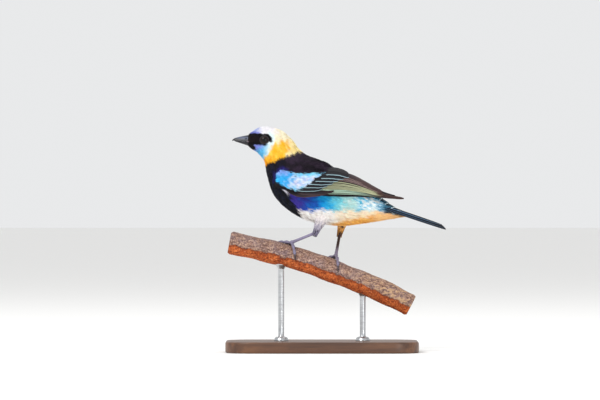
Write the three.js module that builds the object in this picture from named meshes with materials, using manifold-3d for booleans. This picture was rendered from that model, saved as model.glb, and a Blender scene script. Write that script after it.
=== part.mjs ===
// Golden-hooded tanager, life size, gripping a cut length of branch on a plain display stand.
// Millimetres, +Z up. The bird faces -X with its left side towards -Y.
// The origin is the centre of the base's underside.
import * as THREE from "three";
import { mergeVertices } from "three/addons/utils/BufferGeometryUtils.js";
import Module from "manifold-3d";

const wasm = await Module();
wasm.setup();

const gap = 0.3; // air between two pieces that touch
const left = -1; // the side of the bird that looks along -Y
const right = 1;
const degree = Math.PI / 180;

// Stations down the middle of the body, from the bill's base to the tip of the undertail coverts.
// back, belly and side say how far the plumage stands from the middle line there.
const bodyStations = [
  { x: -40.0, z: 113.5, back: 3.8, belly: 2.2, side: 2.7 }, // face
  { x: -37.3, z: 113.4, back: 6.0, belly: 4.0, side: 4.9 }, // lores
  { x: -32.9, z: 113.0, back: 9.0, belly: 6.0, side: 7.1 }, // eyes
  { x: -28.6, z: 111.0, back: 10.8, belly: 6.9, side: 7.9 }, // crown
  { x: -24.8, z: 107.5, back: 11.2, belly: 8.0, side: 8.3 }, // nape
  { x: -20.5, z: 102.1, back: 11.0, belly: 11.6, side: 9.7 }, // collar
  { x: -13.5, z: 94.2, back: 13.4, belly: 16.0, side: 12.6 }, // shoulders
  { x: -2.2, z: 85.9, back: 14.8, belly: 16.1, side: 13.6 }, // middle
  { x: 12.4, z: 79.4, back: 13.4, belly: 12.0, side: 11.6 }, // hips
  { x: 23.8, z: 76.1, back: 9.8, belly: 7.0, side: 7.6 }, // rump
  { x: 33.5, z: 73.5, back: 7.2, belly: 3.0, side: 5.0 }, // vent
  { x: 43.2, z: 71.5, back: 0.6, belly: 0.6, side: 1.6 }, // undertail coverts
];
const bodyRoundness = 0.92; // under 1 squares the cross-section a little

// Thin cuts that part the body: a point on each and the way it faces, towards the tail.
const neckCut = { at: [-24.8, 0, 109.6], faces: [0.447, 0, -0.894] };
const collarCut = { at: [-20.2, 0, 104.3], faces: [0.348, 0, -0.938] };

const eye = { x: -31.1, z: 114.4, out: 5.3, radius: 2.9, lid: 0.42, opening: 2.45 };
const bill = {
  base: { x: -39.6, z: 113.6 },
  length: 8.6,
  rise: 1.1, // how far the tip stands above the corner of the mouth
  upperHeight: 3.5,
  lowerHeight: 2.2,
  width: 4.8,
  nostril: 0.4,
};
const mouthCorner = { reach: 3.6, drop: 2.0, slit: 0.3 };

// The folded wing lies on a curved sheet: a runs from wrist to tip, b up towards the back.
const wing = {
  wrist: { x: -24.3, z: 91.8 },
  slope: -8 * degree,
  length: 69,
  roundness: 14, // radius of the sheet across its width
  stations: [
    { a: 0, out: 12.4, roof: 0.12, top: 4.6, low: -2.6, depth: 3.2 },
    { a: 11.5, out: 15.2, roof: 0.18, top: 7.6, low: -5.2, depth: 4.0 },
    { a: 23, out: 15.7, roof: 0.3, top: 8.8, low: -4.6, depth: 3.6 },
    { a: 34.5, out: 13.4, roof: 0.5, top: 10.0, low: -3.2, depth: 2.8 },
    { a: 46, out: 8.8, roof: 0.66, top: 7.8, low: -1.6, depth: 1.4 },
    { a: 57.5, out: 5.5, roof: 0.6, top: 3.4, low: -0.4, depth: 0.8 },
    { a: 69, out: 3.4, roof: 0.5, top: 1.4, low: 0.5, depth: 0.5 },
  ],
  blade: 0.93, // the share of the wing's outline that the smooth part under the feathers fills
};

// Rows of feathers on each wing, listed from the one nearest the back to the lowest.
// root and tip run from the first feather to the last: reach along the wing, and height in its outline,
// where 1 is the upper edge and 0 the lower one.
const wingRows = [
  { count: 3, root: [16, 20], tip: [42, 50], height: [0.84, 0.7], width: [6.0, 5.2], lift: 0.25, steps: 4 }, // tertials
  { count: 5, root: [18, 16], tip: [50.5, 52], height: [0.66, 0.34], width: [4.8, 4.2], lift: 0.05, steps: 4 }, // secondaries
  { count: 7, root: [20, 14], tip: [54, 69], height: [0.4, 0.22], width: [3.8, 2.6], lift: -0.1, steps: 4 }, // primaries
  { count: 7, root: [17, 6], tip: [37, 20], height: [0.8, 0.1], width: [4.2, 3.0], lift: 0.55, steps: 3 }, // greater coverts
  { count: 5, root: [9, 3], tip: [25, 12], height: [0.78, 0.18], width: [4.6, 3.8], lift: 0.9, steps: 3 }, // median coverts
];
const vane = { thickness: 0.5, tilt: 0.42, tipWidth: 0.3, sunk: 0.5 };

// Rectrices in pairs, from the middle pair on top to the outermost pair beneath.
const tail = {
  root: { x: 22.2, z: 82.0 },
  tip: { x: 67.0, z: 66.9 },
  pairs: 5,
  width: 5.6,
  spread: [1.1, 2.6], // how far the middle and the outermost feathers stand from the tail's middle line
  fan: 0.012, // how much each pair splays beyond the one above it
  step: 0.36, // how far each pair lies under the one above it
  droop: 0.16, // slope of each vane across its width
  notch: 1.6,
};

// Long feathers of the rump that lie on the tail's root, and soft ones beneath it.
const rumpFeathers = { count: 6, root: 11, reach: 17, width: 4.4, spread: 3.2, lift: [3.6, 2.0] };

// A Bezier curve through the branch: its two cut ends and the point that bends it.
const perch = {
  start: [-50, 0, 59],
  bend: [0, 0, 50],
  end: [48, 0, 25],
  radius: 6.05,
  bump: 0.22,
};

const tarsus = { heel: 1.1, shaft: 0.68, foot: 0.9 };
const toe = { root: 0.78, tip: 0.56, pad: 1.05, knuckle: 0.1 };
const claw = { radius: 0.48, point: 0.14, arch: 0.45 };

// Each leg: the top of the thigh, the heel, and the foot's joint on the branch.
// A toe winds on from the joint: along the branch in mm and round it in degrees, near side first.
const legs = [
  {
    name: "left",
    thighTop: [2.2, -7.0, 76.0],
    heel: [-3.5, -8.6, 64.4],
    thigh: [5.4, 5.0, 3.6, 1.6],
    joint: { along: -19.6, round: 9, lift: 0.5 },
    toes: [
      { name: "hind", along: 3.4, round: 66, claw: { along: 1.4, round: 28 } },
      { name: "outer", along: -7.0, round: -46, claw: { along: -1.5, round: -24 } },
      { name: "middle", along: -5.6, round: -86, claw: { along: -0.6, round: -28 } },
      { name: "inner", along: -1.2, round: -80, claw: { along: 0.3, round: -26 } },
    ],
  },
  {
    name: "right",
    thighTop: [12.4, 7.2, 75.5],
    heel: [9.7, 10.2, 63.8],
    thigh: [3.6, 2.9, 2.1, 1.4],
    joint: { along: 4.6, round: -12, lift: 1.1 },
    toes: [
      { name: "hind", along: 3.0, round: 74, claw: { along: 1.2, round: 28 } },
      { name: "inner", along: -6.2, round: -38, claw: { along: -1.5, round: -24 } },
      { name: "middle", along: -6.0, round: -80, claw: { along: -0.6, round: -28 } },
      { name: "outer", along: -1.6, round: -80, claw: { along: 0.3, round: -28 } },
    ],
  },
];

const base = { length: 104, width: 60, height: 6, corner: 14, chamfer: 1 };
const rod = { radius: 1.6, collar: 4, collarHeight: 2.2, saddle: 3.2, saddleHeight: 3 };
const rodPlaces = { front: -22, back: 22 };

const vector = (p) => new THREE.Vector3(...p);
const mix = THREE.MathUtils.lerp;
const rounded = (value, power) => Math.sign(value) * Math.abs(value) ** power;

// Turns a three.js geometry into a closed solid that faces out.
function solid(geometry) {
  const bare = geometry.clone();
  bare.deleteAttribute("normal");
  bare.deleteAttribute("uv");
  const merged = mergeVertices(bare, 1e-4);
  const corners = new Uint32Array(merged.index.array);
  const kept = [];
  for (let i = 0; i < corners.length; i += 3) {
    const [p, q, r] = corners.subarray(i, i + 3);
    if (p !== q && q !== r && p !== r) kept.push(p, q, r);
  }
  const build = (order) => new wasm.Manifold(new wasm.Mesh({
    numProp: 3,
    vertProperties: merged.attributes.position.array,
    triVerts: new Uint32Array(order),
  }));
  const made = build(kept);
  if (made.volume() > 0) return made;
  for (let i = 0; i < kept.length; i += 3) [kept[i], kept[i + 1]] = [kept[i + 1], kept[i]];
  return build(kept);
}

// A closed body whose surface is place(t, angle, share): t runs from end to end, share from middle to skin.
function sweep(place, around, along) {
  const form = new THREE.CylinderGeometry(1, 1, 1, around, along);
  const position = form.attributes.position;
  for (let i = 0; i < position.count; i++) {
    const share = Math.min(1, Math.hypot(position.getX(i), position.getZ(i)));
    const angle = Math.atan2(position.getZ(i), position.getX(i));
    const spot = place(0.5 - position.getY(i), angle, share);
    position.setXYZ(i, spot.x, spot.y, spot.z);
  }
  return solid(form);
}

function join(solids) {
  return solids.reduce((whole, piece) => whole.add(piece));
}

// The largest closed surface of a solid, without loose scraps.
function largest(made) {
  return made.decompose().reduce((best, body) => (body.volume() > best.volume() ? body : best));
}

function ball(centre, radius, detail = 12) {
  const form = new THREE.SphereGeometry(radius, detail, Math.round(detail * 0.67));
  return solid(form.translate(centre.x, centre.y, centre.z));
}

// A large block whose flat side passes through a cut, on the side that the cut faces times way.
function beyond(cut, way) {
  const size = 300;
  const faces = vector(cut.faces).normalize().multiplyScalar(way);
  const block = new THREE.BoxGeometry(size, size, size);
  const turn = new THREE.Quaternion().setFromUnitVectors(new THREE.Vector3(0, 0, 1), faces);
  block.applyQuaternion(turn);
  const middle = vector(cut.at).addScaledVector(faces, size / 2 - gap / 2);
  return solid(block.translate(middle.x, middle.y, middle.z));
}

const spine = new THREE.CatmullRomCurve3(bodyStations.map((s) => new THREE.Vector3(s.x, 0, s.z)));
const girth = new THREE.CatmullRomCurve3(
  bodyStations.map((s) => new THREE.Vector3(s.back, s.belly, s.side)),
  false,
  "catmullrom",
  0.5,
);

// A point on the plumage: angle 0 is the back, a quarter turn the left side, half a turn the belly.
function bodyPoint(t, angle, share, grow = 0) {
  const middle = spine.getPoint(t);
  const along = spine.getTangent(t);
  const up = new THREE.Vector3(-along.z, 0, along.x);
  const { x: back, y: belly, z: side } = girth.getPoint(t);
  const rise = rounded(Math.cos(angle), bodyRoundness);
  const out = rounded(Math.sin(angle), bodyRoundness);
  const height = (rise > 0 ? back : belly) + grow;
  middle.addScaledVector(up, rise * height * share);
  middle.y -= out * (side + grow) * share;
  if (grow && t === 0) middle.addScaledVector(along, -grow);
  return middle;
}

function body(grow = 0) {
  return sweep((t, angle, share) => bodyPoint(t, angle, share, grow), 26, 42);
}

const grownBody = body(gap);

function eyeCentre(side) {
  return new THREE.Vector3(eye.x, side * eye.out, eye.z);
}

// A ring of bare skin round each eye, on the head.
function lid(side) {
  const ring = new THREE.TorusGeometry(eye.opening, eye.lid, 6, 16);
  const reach = Math.sqrt(eye.radius ** 2 - eye.opening ** 2);
  ring.rotateX(Math.PI / 2);
  return solid(ring.translate(eye.x, side * (eye.out + reach), eye.z));
}

// The corner of the mouth runs back and down into the face as a thin slit.
function mouthSlit() {
  const { reach, drop, slit } = mouthCorner;
  const start = 1.5; // the cut starts this far ahead of the face
  const blade = new THREE.BoxGeometry(Math.hypot(reach, drop) + start, 20, slit);
  blade.translate((Math.hypot(reach, drop) - start) / 2, 0, 0);
  blade.rotateY(Math.atan2(drop, reach));
  return solid(blade.translate(bill.base.x, 0, bill.base.z));
}

function head() {
  let made = body().subtract(beyond(neckCut, 1));
  for (const side of [left, right]) {
    made = made.add(lid(side)).subtract(ball(eyeCentre(side), eye.radius + gap, 16));
  }
  return largest(made.subtract(mouthSlit()));
}

const neck = () => largest(body().subtract(beyond(neckCut, -1)).subtract(beyond(collarCut, 1)));

function torso() {
  const feathers = Array.from({ length: rumpFeathers.count }, (_, index) => rumpFeather(index));
  return largest(join([body(), ...feathers]).subtract(beyond(collarCut, -1)));
}

// One half of the bill: a cone of half-round section, flat along the mouth.
function mandible(height, up, length) {
  return sweep((t, angle, share) => {
    const taper = Math.max(0.03, Math.sqrt(1 - t) * (1 - 0.35 * t));
    const edge = up * gap * 0.5;
    const rise = Math.max(0, Math.sin(angle)) * height * taper * (1 - 0.12 * t);
    const across = Math.cos(angle) * (bill.width / 2) * taper ** 1.25;
    return new THREE.Vector3(
      bill.base.x - gap - length * t,
      across * share,
      bill.base.z + edge + up * rise * share + bill.rise * t * (1 - 0.25 * t * t),
    );
  }, 16, 7);
}

function upperBill() {
  let made = mandible(bill.upperHeight, 1, bill.length);
  for (const side of [left, right]) {
    const pit = new THREE.Vector3(bill.base.x - 2.2, side * bill.width * 0.4, bill.base.z + 1.8);
    made = made.subtract(ball(pit, bill.nostril, 8));
  }
  return largest(made.subtract(grownBody));
}

const lowerBill = () => largest(mandible(bill.lowerHeight, -1, bill.length - 0.5).subtract(grownBody));

// Reads a named size of the wing between its stations.
function wingSize(name, a) {
  const { stations, length } = wing;
  const place = THREE.MathUtils.clamp(a / length, 0, 1);
  const line = new THREE.CatmullRomCurve3(
    stations.map((s) => new THREE.Vector3(s[name], 0, 0)),
    false,
    "catmullrom",
    0.5,
  );
  return line.getPoint(place).x;
}

// The folded wing's outer sheet, then d outwards from it.
function wingPoint(side, a, b, d) {
  const sheet = (p, q) => {
    const out = wingSize("out", p) - wingSize("roof", p) * q - (q * q) / (2 * wing.roundness);
    return new THREE.Vector3(
      wing.wrist.x + p * Math.cos(wing.slope) - q * Math.sin(wing.slope),
      side * out,
      wing.wrist.z + p * Math.sin(wing.slope) + q * Math.cos(wing.slope),
    );
  };
  const spot = sheet(a, b);
  const alongA = sheet(a + 0.1, b).sub(spot);
  const alongB = sheet(a, b + 0.1).sub(spot);
  const outward = alongA.cross(alongB).normalize();
  if (outward.y * side < 0) outward.negate();
  return spot.addScaledVector(outward, d);
}

// The smooth arm and blade that the wing's feathers grow from.
function wingBlade(side) {
  const reach = wing.length * wing.blade;
  return sweep((t, angle, share) => {
    const a = -1 + (reach + 1) * t;
    const depth = wingSize("depth", a);
    const start = Math.min(1, 0.35 + t * 9) * share * wing.blade;
    const height = 0.5 + Math.cos(angle) * start * 0.5;
    const d = -depth / 2 + (Math.sin(angle) * start * depth) / 2;
    return wingPoint(side, a, heightOnWing(a, height), d);
  }, 10, 12);
}

const heightOnWing = (a, height) => mix(wingSize("low", a), wingSize("top", a), height);

// A thin plate of even thickness: place(t, across, face) gives the point at t from root to tip,
// across from -1 to 1 over its width, on the outer face (1) or the inner one (-1).
// Both faces are split into triangles alike, so that a curved plate never crosses itself.
function plate(place, steps) {
  const sheet = new THREE.PlaneGeometry(2, 1, 1, steps);
  const grid = sheet.attributes.position;
  const points = [];
  for (const face of [1, -1]) {
    for (let i = 0; i < grid.count; i++) {
      points.push(...place(0.5 - grid.getY(i), grid.getX(i), face).toArray());
    }
  }
  const corners = [];
  const edges = new Map();
  for (let i = 0; i < sheet.index.count; i += 3) {
    const [p, q, r] = sheet.index.array.subarray(i, i + 3);
    corners.push(p, q, r, r + grid.count, q + grid.count, p + grid.count);
    for (const [from, to] of [[p, q], [q, r], [r, p]]) edges.set(`${from} ${to}`, [from, to]);
  }
  for (const [from, to] of edges.values()) {
    if (edges.has(`${to} ${from}`)) continue;
    corners.push(to, from, from + grid.count, to, from + grid.count, to + grid.count);
  }
  const form = new THREE.BufferGeometry();
  form.setAttribute("position", new THREE.Float32BufferAttribute(points, 3));
  form.setIndex(corners);
  return solid(form);
}

// How wide a feather is along its length: narrow at the quill and rounded at the tip.
function vaneWidth(t) {
  return Math.min(0.55 + t * 2.2, 1) * mix(vane.tipWidth, 1, Math.sqrt(Math.max(0, 1 - t ** 6)));
}

// One feather of a wing row. Its lower edge stands over its neighbour and its upper edge is sunk.
function wingFeather(side, row, index) {
  const share = row.count > 1 ? index / (row.count - 1) : 0;
  const [root, tip, height, width] = [row.root, row.tip, row.height, row.width].map(
    ([first, last]) => mix(first, last, share),
  );
  return plate((t, across, face) => {
    const a = mix(root, tip, t ** 0.85);
    const half = (width / 2) * vaneWidth(t);
    const b = heightOnWing(a, mix(height, 0.5, 0.25 * t ** 3)) + across * half;
    const lift = mix(-vane.sunk, row.lift, Math.min(1, t * 2.5));
    const d = lift - across * vane.tilt * vaneWidth(t) + (face * vane.thickness) / 2;
    return wingPoint(side, a, b, d);
  }, row.steps);
}

function foldedWing(side) {
  const feathers = wingRows.flatMap((row) =>
    Array.from({ length: row.count }, (_, index) => wingFeather(side, row, index)),
  );
  return largest(join([wingBlade(side), ...feathers]).subtract(grownBody));
}

function tailPoint(along, across, up) {
  const root = new THREE.Vector3(tail.root.x, 0, tail.root.z);
  const tip = new THREE.Vector3(tail.tip.x, 0, tail.tip.z);
  const way = tip.clone().sub(root).normalize();
  const lift = new THREE.Vector3(-way.z, 0, way.x);
  const spot = root.addScaledVector(way, along).addScaledVector(lift, up);
  spot.y += across;
  return spot;
}

const tailLength = Math.hypot(tail.tip.x - tail.root.x, tail.tip.z - tail.root.z);

// One tail feather; pair 0 is the middle one on top.
function tailFeather(side, pair) {
  const outward = pair / (tail.pairs - 1);
  const reach = tailLength - tail.notch * Math.abs(outward - 0.7);
  return plate((t, across, face) => {
    const along = reach * t;
    const half = (tail.width / 2) * vaneWidth(t);
    const out = mix(...tail.spread, outward) * mix(0.6, 1, t) + pair * tail.fan * along + across * half;
    const depth = tail.step * pair * mix(1.3, 0.8, t) + tail.droop * out;
    return tailPoint(along, side * out, 0.9 - depth + (face * vane.thickness) / 2);
  }, 5);
}

function closedTail() {
  const feathers = [left, right].flatMap((side) =>
    Array.from({ length: tail.pairs }, (_, pair) => tailFeather(side, pair)),
  );
  const above = Array.from({ length: rumpFeathers.count }, (_, index) => rumpFeather(index, gap));
  return largest(join(feathers).subtract(grownBody).subtract(join(above)));
}

// One long feather of the rump, from the torso out over the tail's root.
function rumpFeather(index, grow = 0) {
  const { count, root, reach, width, spread, lift } = rumpFeathers;
  const outward = (index - (count - 1) / 2) / ((count - 1) / 2);
  return plate((t, across, face) => {
    const along = root + (reach + grow - 3 * Math.abs(outward)) * t;
    const out = outward * spread + across * ((width / 2) * vaneWidth(t) + grow);
    const rise = mix(...lift, Math.sqrt(t)) - tail.droop * 1.6 * Math.abs(out);
    return tailPoint(along, out, rise + face * (vane.thickness / 2 + grow));
  }, 3);
}

const branch = new THREE.QuadraticBezierCurve3(
  vector(perch.start),
  vector(perch.bend),
  vector(perch.end),
);
const branchLength = branch.getLength();

// How far the bark stands from the branch's middle: low swellings that wander round it.
function barkRadius(along, angle) {
  const swell = Math.sin(along * 0.21 + 1) + Math.sin(along * 0.37 + angle * 2) + Math.sin(angle * 3 - along * 0.12);
  return perch.radius + (perch.bump * swell) / 1.5;
}

// A point that stands off the bark: along in mm from the middle, angle 0 on top and a quarter turn on the near side.
function branchPoint(along, angle, off) {
  const place = THREE.MathUtils.clamp(along / branchLength + 0.5, 0, 1);
  const middle = branch.getPointAt(place);
  const way = branch.getTangentAt(place);
  const up = new THREE.Vector3(-way.z, 0, way.x);
  const reach = barkRadius(along, angle) + off;
  middle.addScaledVector(up, Math.cos(angle) * reach);
  middle.y -= Math.sin(angle) * reach;
  return middle;
}

function perchBody(grow = 0) {
  return sweep((t, angle, share) => {
    const along = (t - 0.5) * branchLength;
    const rim = t === 0 || t === 1 ? -0.6 : 0; // the cut ends are lightly rounded
    const off = grow + rim;
    const skin = branchPoint(along, angle, off);
    const core = branch.getPointAt(THREE.MathUtils.clamp(t, 0, 1));
    return core.lerp(skin, share);
  }, 18, 24);
}

// A round tube of changing radius along a list of points.
function tube(points, radius, around, along, grow = 0) {
  const line = new THREE.CatmullRomCurve3(points);
  const frames = line.computeFrenetFrames(along);
  return sweep((t, angle, share) => {
    const step = Math.round(t * along);
    const reach = (radius(t) + grow) * share;
    return line
      .getPointAt(t)
      .addScaledVector(frames.normals[step], Math.cos(angle) * reach)
      .addScaledVector(frames.binormals[step], Math.sin(angle) * reach);
  }, around, along);
}

function jointOf(leg) {
  const { along, round, lift } = leg.joint;
  return branchPoint(along, round * degree, gap + toe.pad + lift);
}

const toeRadius = (t) => mix(toe.root, toe.tip, t) + toe.knuckle * Math.cos(t * Math.PI * 5);

// The line down the middle of a toe, from the joint until it lies along the bark.
function toeLine(leg, one) {
  const { along, round, lift } = leg.joint;
  const steps = 6;
  return Array.from({ length: steps + 1 }, (_, i) => {
    const t = i / steps;
    const settle = (toe.pad - toe.root + lift) * (1 - t) ** 3;
    const angle = (round + one.round * t) * degree;
    return branchPoint(along + one.along * t, angle, gap + toeRadius(t) + settle);
  });
}

function clawLine(leg, one) {
  const from = leg.joint.along + one.along;
  const angle = leg.joint.round + one.round;
  const { along, round } = one.claw;
  const length = Math.hypot(along, round * degree * perch.radius);
  const steps = 4;
  return Array.from({ length: steps + 1 }, (_, i) => {
    const t = mix(gap / length, 1, i / steps);
    const off = gap + mix(toe.tip, claw.point, t) + claw.arch * Math.sin(t * Math.PI);
    return branchPoint(from + along * t, (angle + round * t) * degree, off);
  });
}

function foot(leg, grow = 0) {
  const toes = leg.toes.map((one) => tube(toeLine(leg, one), toeRadius, 7, 6, grow));
  return join([ball(jointOf(leg), toe.pad + grow, 10), ...toes]);
}

function clawBody(leg, one) {
  return tube(clawLine(leg, one), (t) => mix(claw.radius, claw.point, t), 7, 5);
}

function shank(leg, grow = 0) {
  const heel = vector(leg.heel);
  const joint = jointOf(leg);
  const radius = (t) => tarsus.shaft + (tarsus.foot - tarsus.shaft) * t ** 8;
  const shaft = tube([heel, heel.clone().lerp(joint, 0.5), joint], radius, 8, 6, grow);
  return ball(heel, tarsus.heel + grow, 10).add(shaft);
}

function thigh(leg) {
  const top = vector(leg.thighTop);
  const heel = vector(leg.heel);
  const line = [0, 0.35, 0.7, 1].map((t) => top.clone().lerp(heel, t));
  const sizes = new THREE.CatmullRomCurve3(leg.thigh.map((r) => new THREE.Vector3(r, 0, 0)));
  const made = tube(line, (t) => sizes.getPoint(t).x, 12, 8);
  return largest(made.subtract(grownBody).subtract(shank(leg, gap)));
}

function standBase() {
  const { length, width, height, corner, chamfer } = base;
  const x = length / 2 - chamfer;
  const y = width / 2 - chamfer;
  const r = corner - chamfer;
  const plan = new THREE.Shape();
  plan.absarc(x - r, y - r, r, 0, Math.PI / 2);
  plan.absarc(r - x, y - r, r, Math.PI / 2, Math.PI);
  plan.absarc(r - x, r - y, r, Math.PI, Math.PI * 1.5);
  plan.absarc(x - r, r - y, r, Math.PI * 1.5, Math.PI * 2);
  const plate = new THREE.ExtrudeGeometry(plan, {
    depth: height - 2 * chamfer,
    bevelThickness: chamfer,
    bevelSize: chamfer,
    bevelSegments: 1,
    curveSegments: 6,
  });
  return solid(plate.translate(0, 0, chamfer));
}

// A turned rod: a collar on the base, a thin shaft, and a saddle that takes the branch's underside.
function standRod(x, grownPerch) {
  const foot0 = base.height + gap;
  const top = branch.getPointAt(x / branchLength + 0.5).z - perch.radius * 0.35;
  const profile = [
    [0, foot0],
    [rod.collar, foot0],
    [rod.collar * 0.85, foot0 + rod.collarHeight],
    [rod.radius, foot0 + rod.collarHeight],
    [rod.radius, top - rod.saddleHeight * 2],
    [rod.saddle, top - rod.saddleHeight],
    [rod.saddle, top],
    [0, top],
  ].map(([r, z]) => new THREE.Vector2(r, z));
  const turned = new THREE.LatheGeometry(profile, 16);
  turned.rotateX(Math.PI / 2);
  return largest(solid(turned.translate(x, 0, 0)).subtract(grownPerch));
}

const finish = (color, roughness, metalness = 0) =>
  new THREE.MeshStandardMaterial({ color, roughness, metalness });
const finishes = {
  blackPlumage: finish(0x1b181d, 0.75),
  goldPlumage: finish(0xe2a63a, 0.8),
  flightFeathers: finish(0x2a2426, 0.6),
  thighPlumage: finish(0xd9d2c4, 0.85),
  bill: finish(0x3a3b40, 0.35),
  eye: finish(0x1a0d08, 0.05),
  legs: finish(0x6e6a78, 0.55),
  claws: finish(0x2b2522, 0.4),
  bark: finish(0xa8583a, 0.9),
  wood: finish(0x3d2a20, 0.45),
  steel: finish(0xb4b6b8, 0.3, 1),
};

const model = new THREE.Group();

function show(name, made, material) {
  const { numProp, numVert, vertProperties, triVerts } = made.getMesh();
  const points = new Float32Array(numVert * 3);
  for (let i = 0; i < numVert; i++) {
    points.set(vertProperties.subarray(i * numProp, i * numProp + 3), i * 3);
  }
  const geometry = new THREE.BufferGeometry();
  geometry.setAttribute("position", new THREE.BufferAttribute(points, 3));
  geometry.setIndex(new THREE.BufferAttribute(triVerts, 1));
  geometry.computeVertexNormals();
  const mesh = new THREE.Mesh(geometry, material);
  mesh.name = name;
  model.add(mesh);
}

show("head", head(), finishes.goldPlumage);
show("neck", neck(), finishes.goldPlumage);
show("torso", torso(), finishes.blackPlumage);
show("bill_upper", upperBill(), finishes.bill);
show("bill_lower", lowerBill(), finishes.bill);
show("tail", closedTail(), finishes.flightFeathers);
for (const [name, side] of [["left", left], ["right", right]]) {
  show(`eye_${name}`, ball(eyeCentre(side), eye.radius, 16), finishes.eye);
  show(`wing_${name}`, foldedWing(side), finishes.flightFeathers);
}
for (const leg of legs) {
  show(`thigh_${leg.name}`, thigh(leg), finishes.thighPlumage);
  show(`tarsus_${leg.name}`, largest(shank(leg).subtract(foot(leg, gap))), finishes.legs);
  show(`foot_${leg.name}`, foot(leg), finishes.legs);
  for (const one of leg.toes) {
    show(`claw_${leg.name}_${one.name}`, clawBody(leg, one), finishes.claws);
  }
}
const grownPerch = perchBody(gap);
show("perch", perchBody(), finishes.bark);
show("stand_base", standBase(), finishes.wood);
for (const [name, x] of Object.entries(rodPlaces)) {
  show(`stand_rod_${name}`, standRod(x, grownPerch), finishes.steel);
}

export default model;
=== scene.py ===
# Golden-hooded tanager on a cut branch and display stand. Lengths are millimetres until a mesh is made.
import bpy
import math
import numpy as np
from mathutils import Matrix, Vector, noise


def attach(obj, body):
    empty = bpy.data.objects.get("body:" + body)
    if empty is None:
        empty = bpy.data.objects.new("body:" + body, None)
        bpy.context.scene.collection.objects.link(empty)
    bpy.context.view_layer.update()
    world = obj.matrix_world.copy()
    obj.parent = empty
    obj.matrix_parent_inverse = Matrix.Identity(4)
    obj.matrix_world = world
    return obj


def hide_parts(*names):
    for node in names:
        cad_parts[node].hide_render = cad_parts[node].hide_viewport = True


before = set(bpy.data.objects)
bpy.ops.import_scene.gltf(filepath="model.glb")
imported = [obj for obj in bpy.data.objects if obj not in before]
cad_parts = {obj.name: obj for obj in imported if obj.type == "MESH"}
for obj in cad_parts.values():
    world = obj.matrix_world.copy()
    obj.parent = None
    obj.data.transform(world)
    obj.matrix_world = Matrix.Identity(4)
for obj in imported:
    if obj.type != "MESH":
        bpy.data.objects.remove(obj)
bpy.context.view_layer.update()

mm = 0.001
gap = 0.3  # mm that touching solids keep between them in the frame
degree = math.pi / 180
quarterTurn = math.pi / 2
sides = {"left": -1, "right": 1}  # the left side looks along -Y
draws = np.random.default_rng(7)


# Colours and materials

def hexColor(text):
    channels = [int(text[i:i + 2], 16) / 255 for i in (1, 3, 5)]
    return np.array([c / 12.92 if c <= 0.04045 else ((c + 0.055) / 1.055) ** 2.4 for c in channels])


# Mixes two colours, each a text or an array, by the share of the second.
def blend(first, second, share):
    first, second = (hexColor(color) if isinstance(color, str) else color for color in (first, second))
    share = np.clip(np.asarray(share, float), 0, 1)[..., None]
    return first * (1 - share) + second * share


def smooth(low, high, value):
    share = np.clip((np.asarray(value, float) - low) / (high - low), 0, 1)
    return share * share * (3 - 2 * share)


# Reads a value between the places of a table, such as {8: 4.2, 12: 2.9}.
def readAt(table, place):
    return np.interp(place, list(table), list(table.values()))


# Reads a colour between named stops, such as {-14: "#4B3FA0", 3: "#1FB0E8"}.
def gradient(stops, value):
    places = sorted(stops)
    shades = np.array([hexColor(stops[place]) for place in places])
    return np.stack([np.interp(value, places, shades[:, k]) for k in range(3)], -1)


# Adds one shader node, of a kind such as "TexNoise". Settings are its properties, its inputs' values or a
# ramp's stops, and links are sockets, or nodes for their first output.
def addNode(tree, kind, settings=None, links=None):
    node = tree.nodes.new("ShaderNode" + kind)
    for name, value in (settings or {}).items():
        if name == "stops":
            ramp = node.color_ramp.elements
            ramp.remove(ramp[1])
            for i, (place, shade) in enumerate(value.items()):
                element = ramp[0] if i == 0 else ramp.new(place)
                element.position = place
                element.color = (*hexColor(shade), 1)
        elif isinstance(name, str) and hasattr(node, name):
            setattr(node, name, value)
        else:
            node.inputs[name].default_value = value
    for name, source in (links or {}).items():
        tree.links.new(source.outputs[0] if hasattr(source, "outputs") else source, node.inputs[name])
    return node


def newMaterial(name, settings):
    material = bpy.data.materials.new(name)
    material.use_nodes = True
    shader = material.node_tree.nodes["Principled BSDF"]
    for socket, value in settings.items():
        shader.inputs[socket].default_value = value
    place = addNode(material.node_tree, "TexCoord").outputs["Object"]
    return material, material.node_tree, shader, place


# Colours the surface, and raises it by a pattern around 0.5, with the relief in mm.
def dress(tree, shader, color, pattern, relief):
    bump = addNode(tree, "Bump", {"Strength": 1.0, "Distance": relief * mm}, {"Height": pattern})
    tree.links.new(bump.outputs[0], shader.inputs["Normal"])
    tree.links.new(color.outputs[0], shader.inputs["Base Color"])


# The tint that a mesh carries, lighter and darker by the pattern.
def patternedTint(tree, pattern, contrast):
    tint = addNode(tree, "Attribute", {"attribute_name": "tint"})
    light = addNode(tree, "Math", {"operation": "MULTIPLY_ADD", 1: contrast * 2, 2: 1 - contrast}, {
        0: pattern,
    })
    return addNode(tree, "VectorMath", {"operation": "SCALE"}, {0: tint, "Scale": light})


# A fine-grained surface: the mesh's tint, lighter and darker by a noise of the given size in mm.
def grainMaterial(name, settings, size, contrast, relief, drawn=(1.0, 1.0, 1.0)):
    material, tree, shader, place = newMaterial(name, settings)
    stretched = addNode(tree, "Mapping", {"Scale": drawn}, {"Vector": place})
    grain = addNode(tree, "TexNoise", {"Scale": 1 / (size * mm), "Detail": 4.0}, {"Vector": stretched})
    dress(tree, shader, patternedTint(tree, grain, contrast), grain, relief)
    return material


barbs = {
    "spacing": 0.36,  # mm between barbs; real ones stand 0.1 to 0.2 mm apart, drawn coarser so that they show
    "slant": 1.3,  # mm that a barb runs forward for each mm out from the shaft
    "patch": 1.4,  # mm across the vane's uneven patches
}


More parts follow.
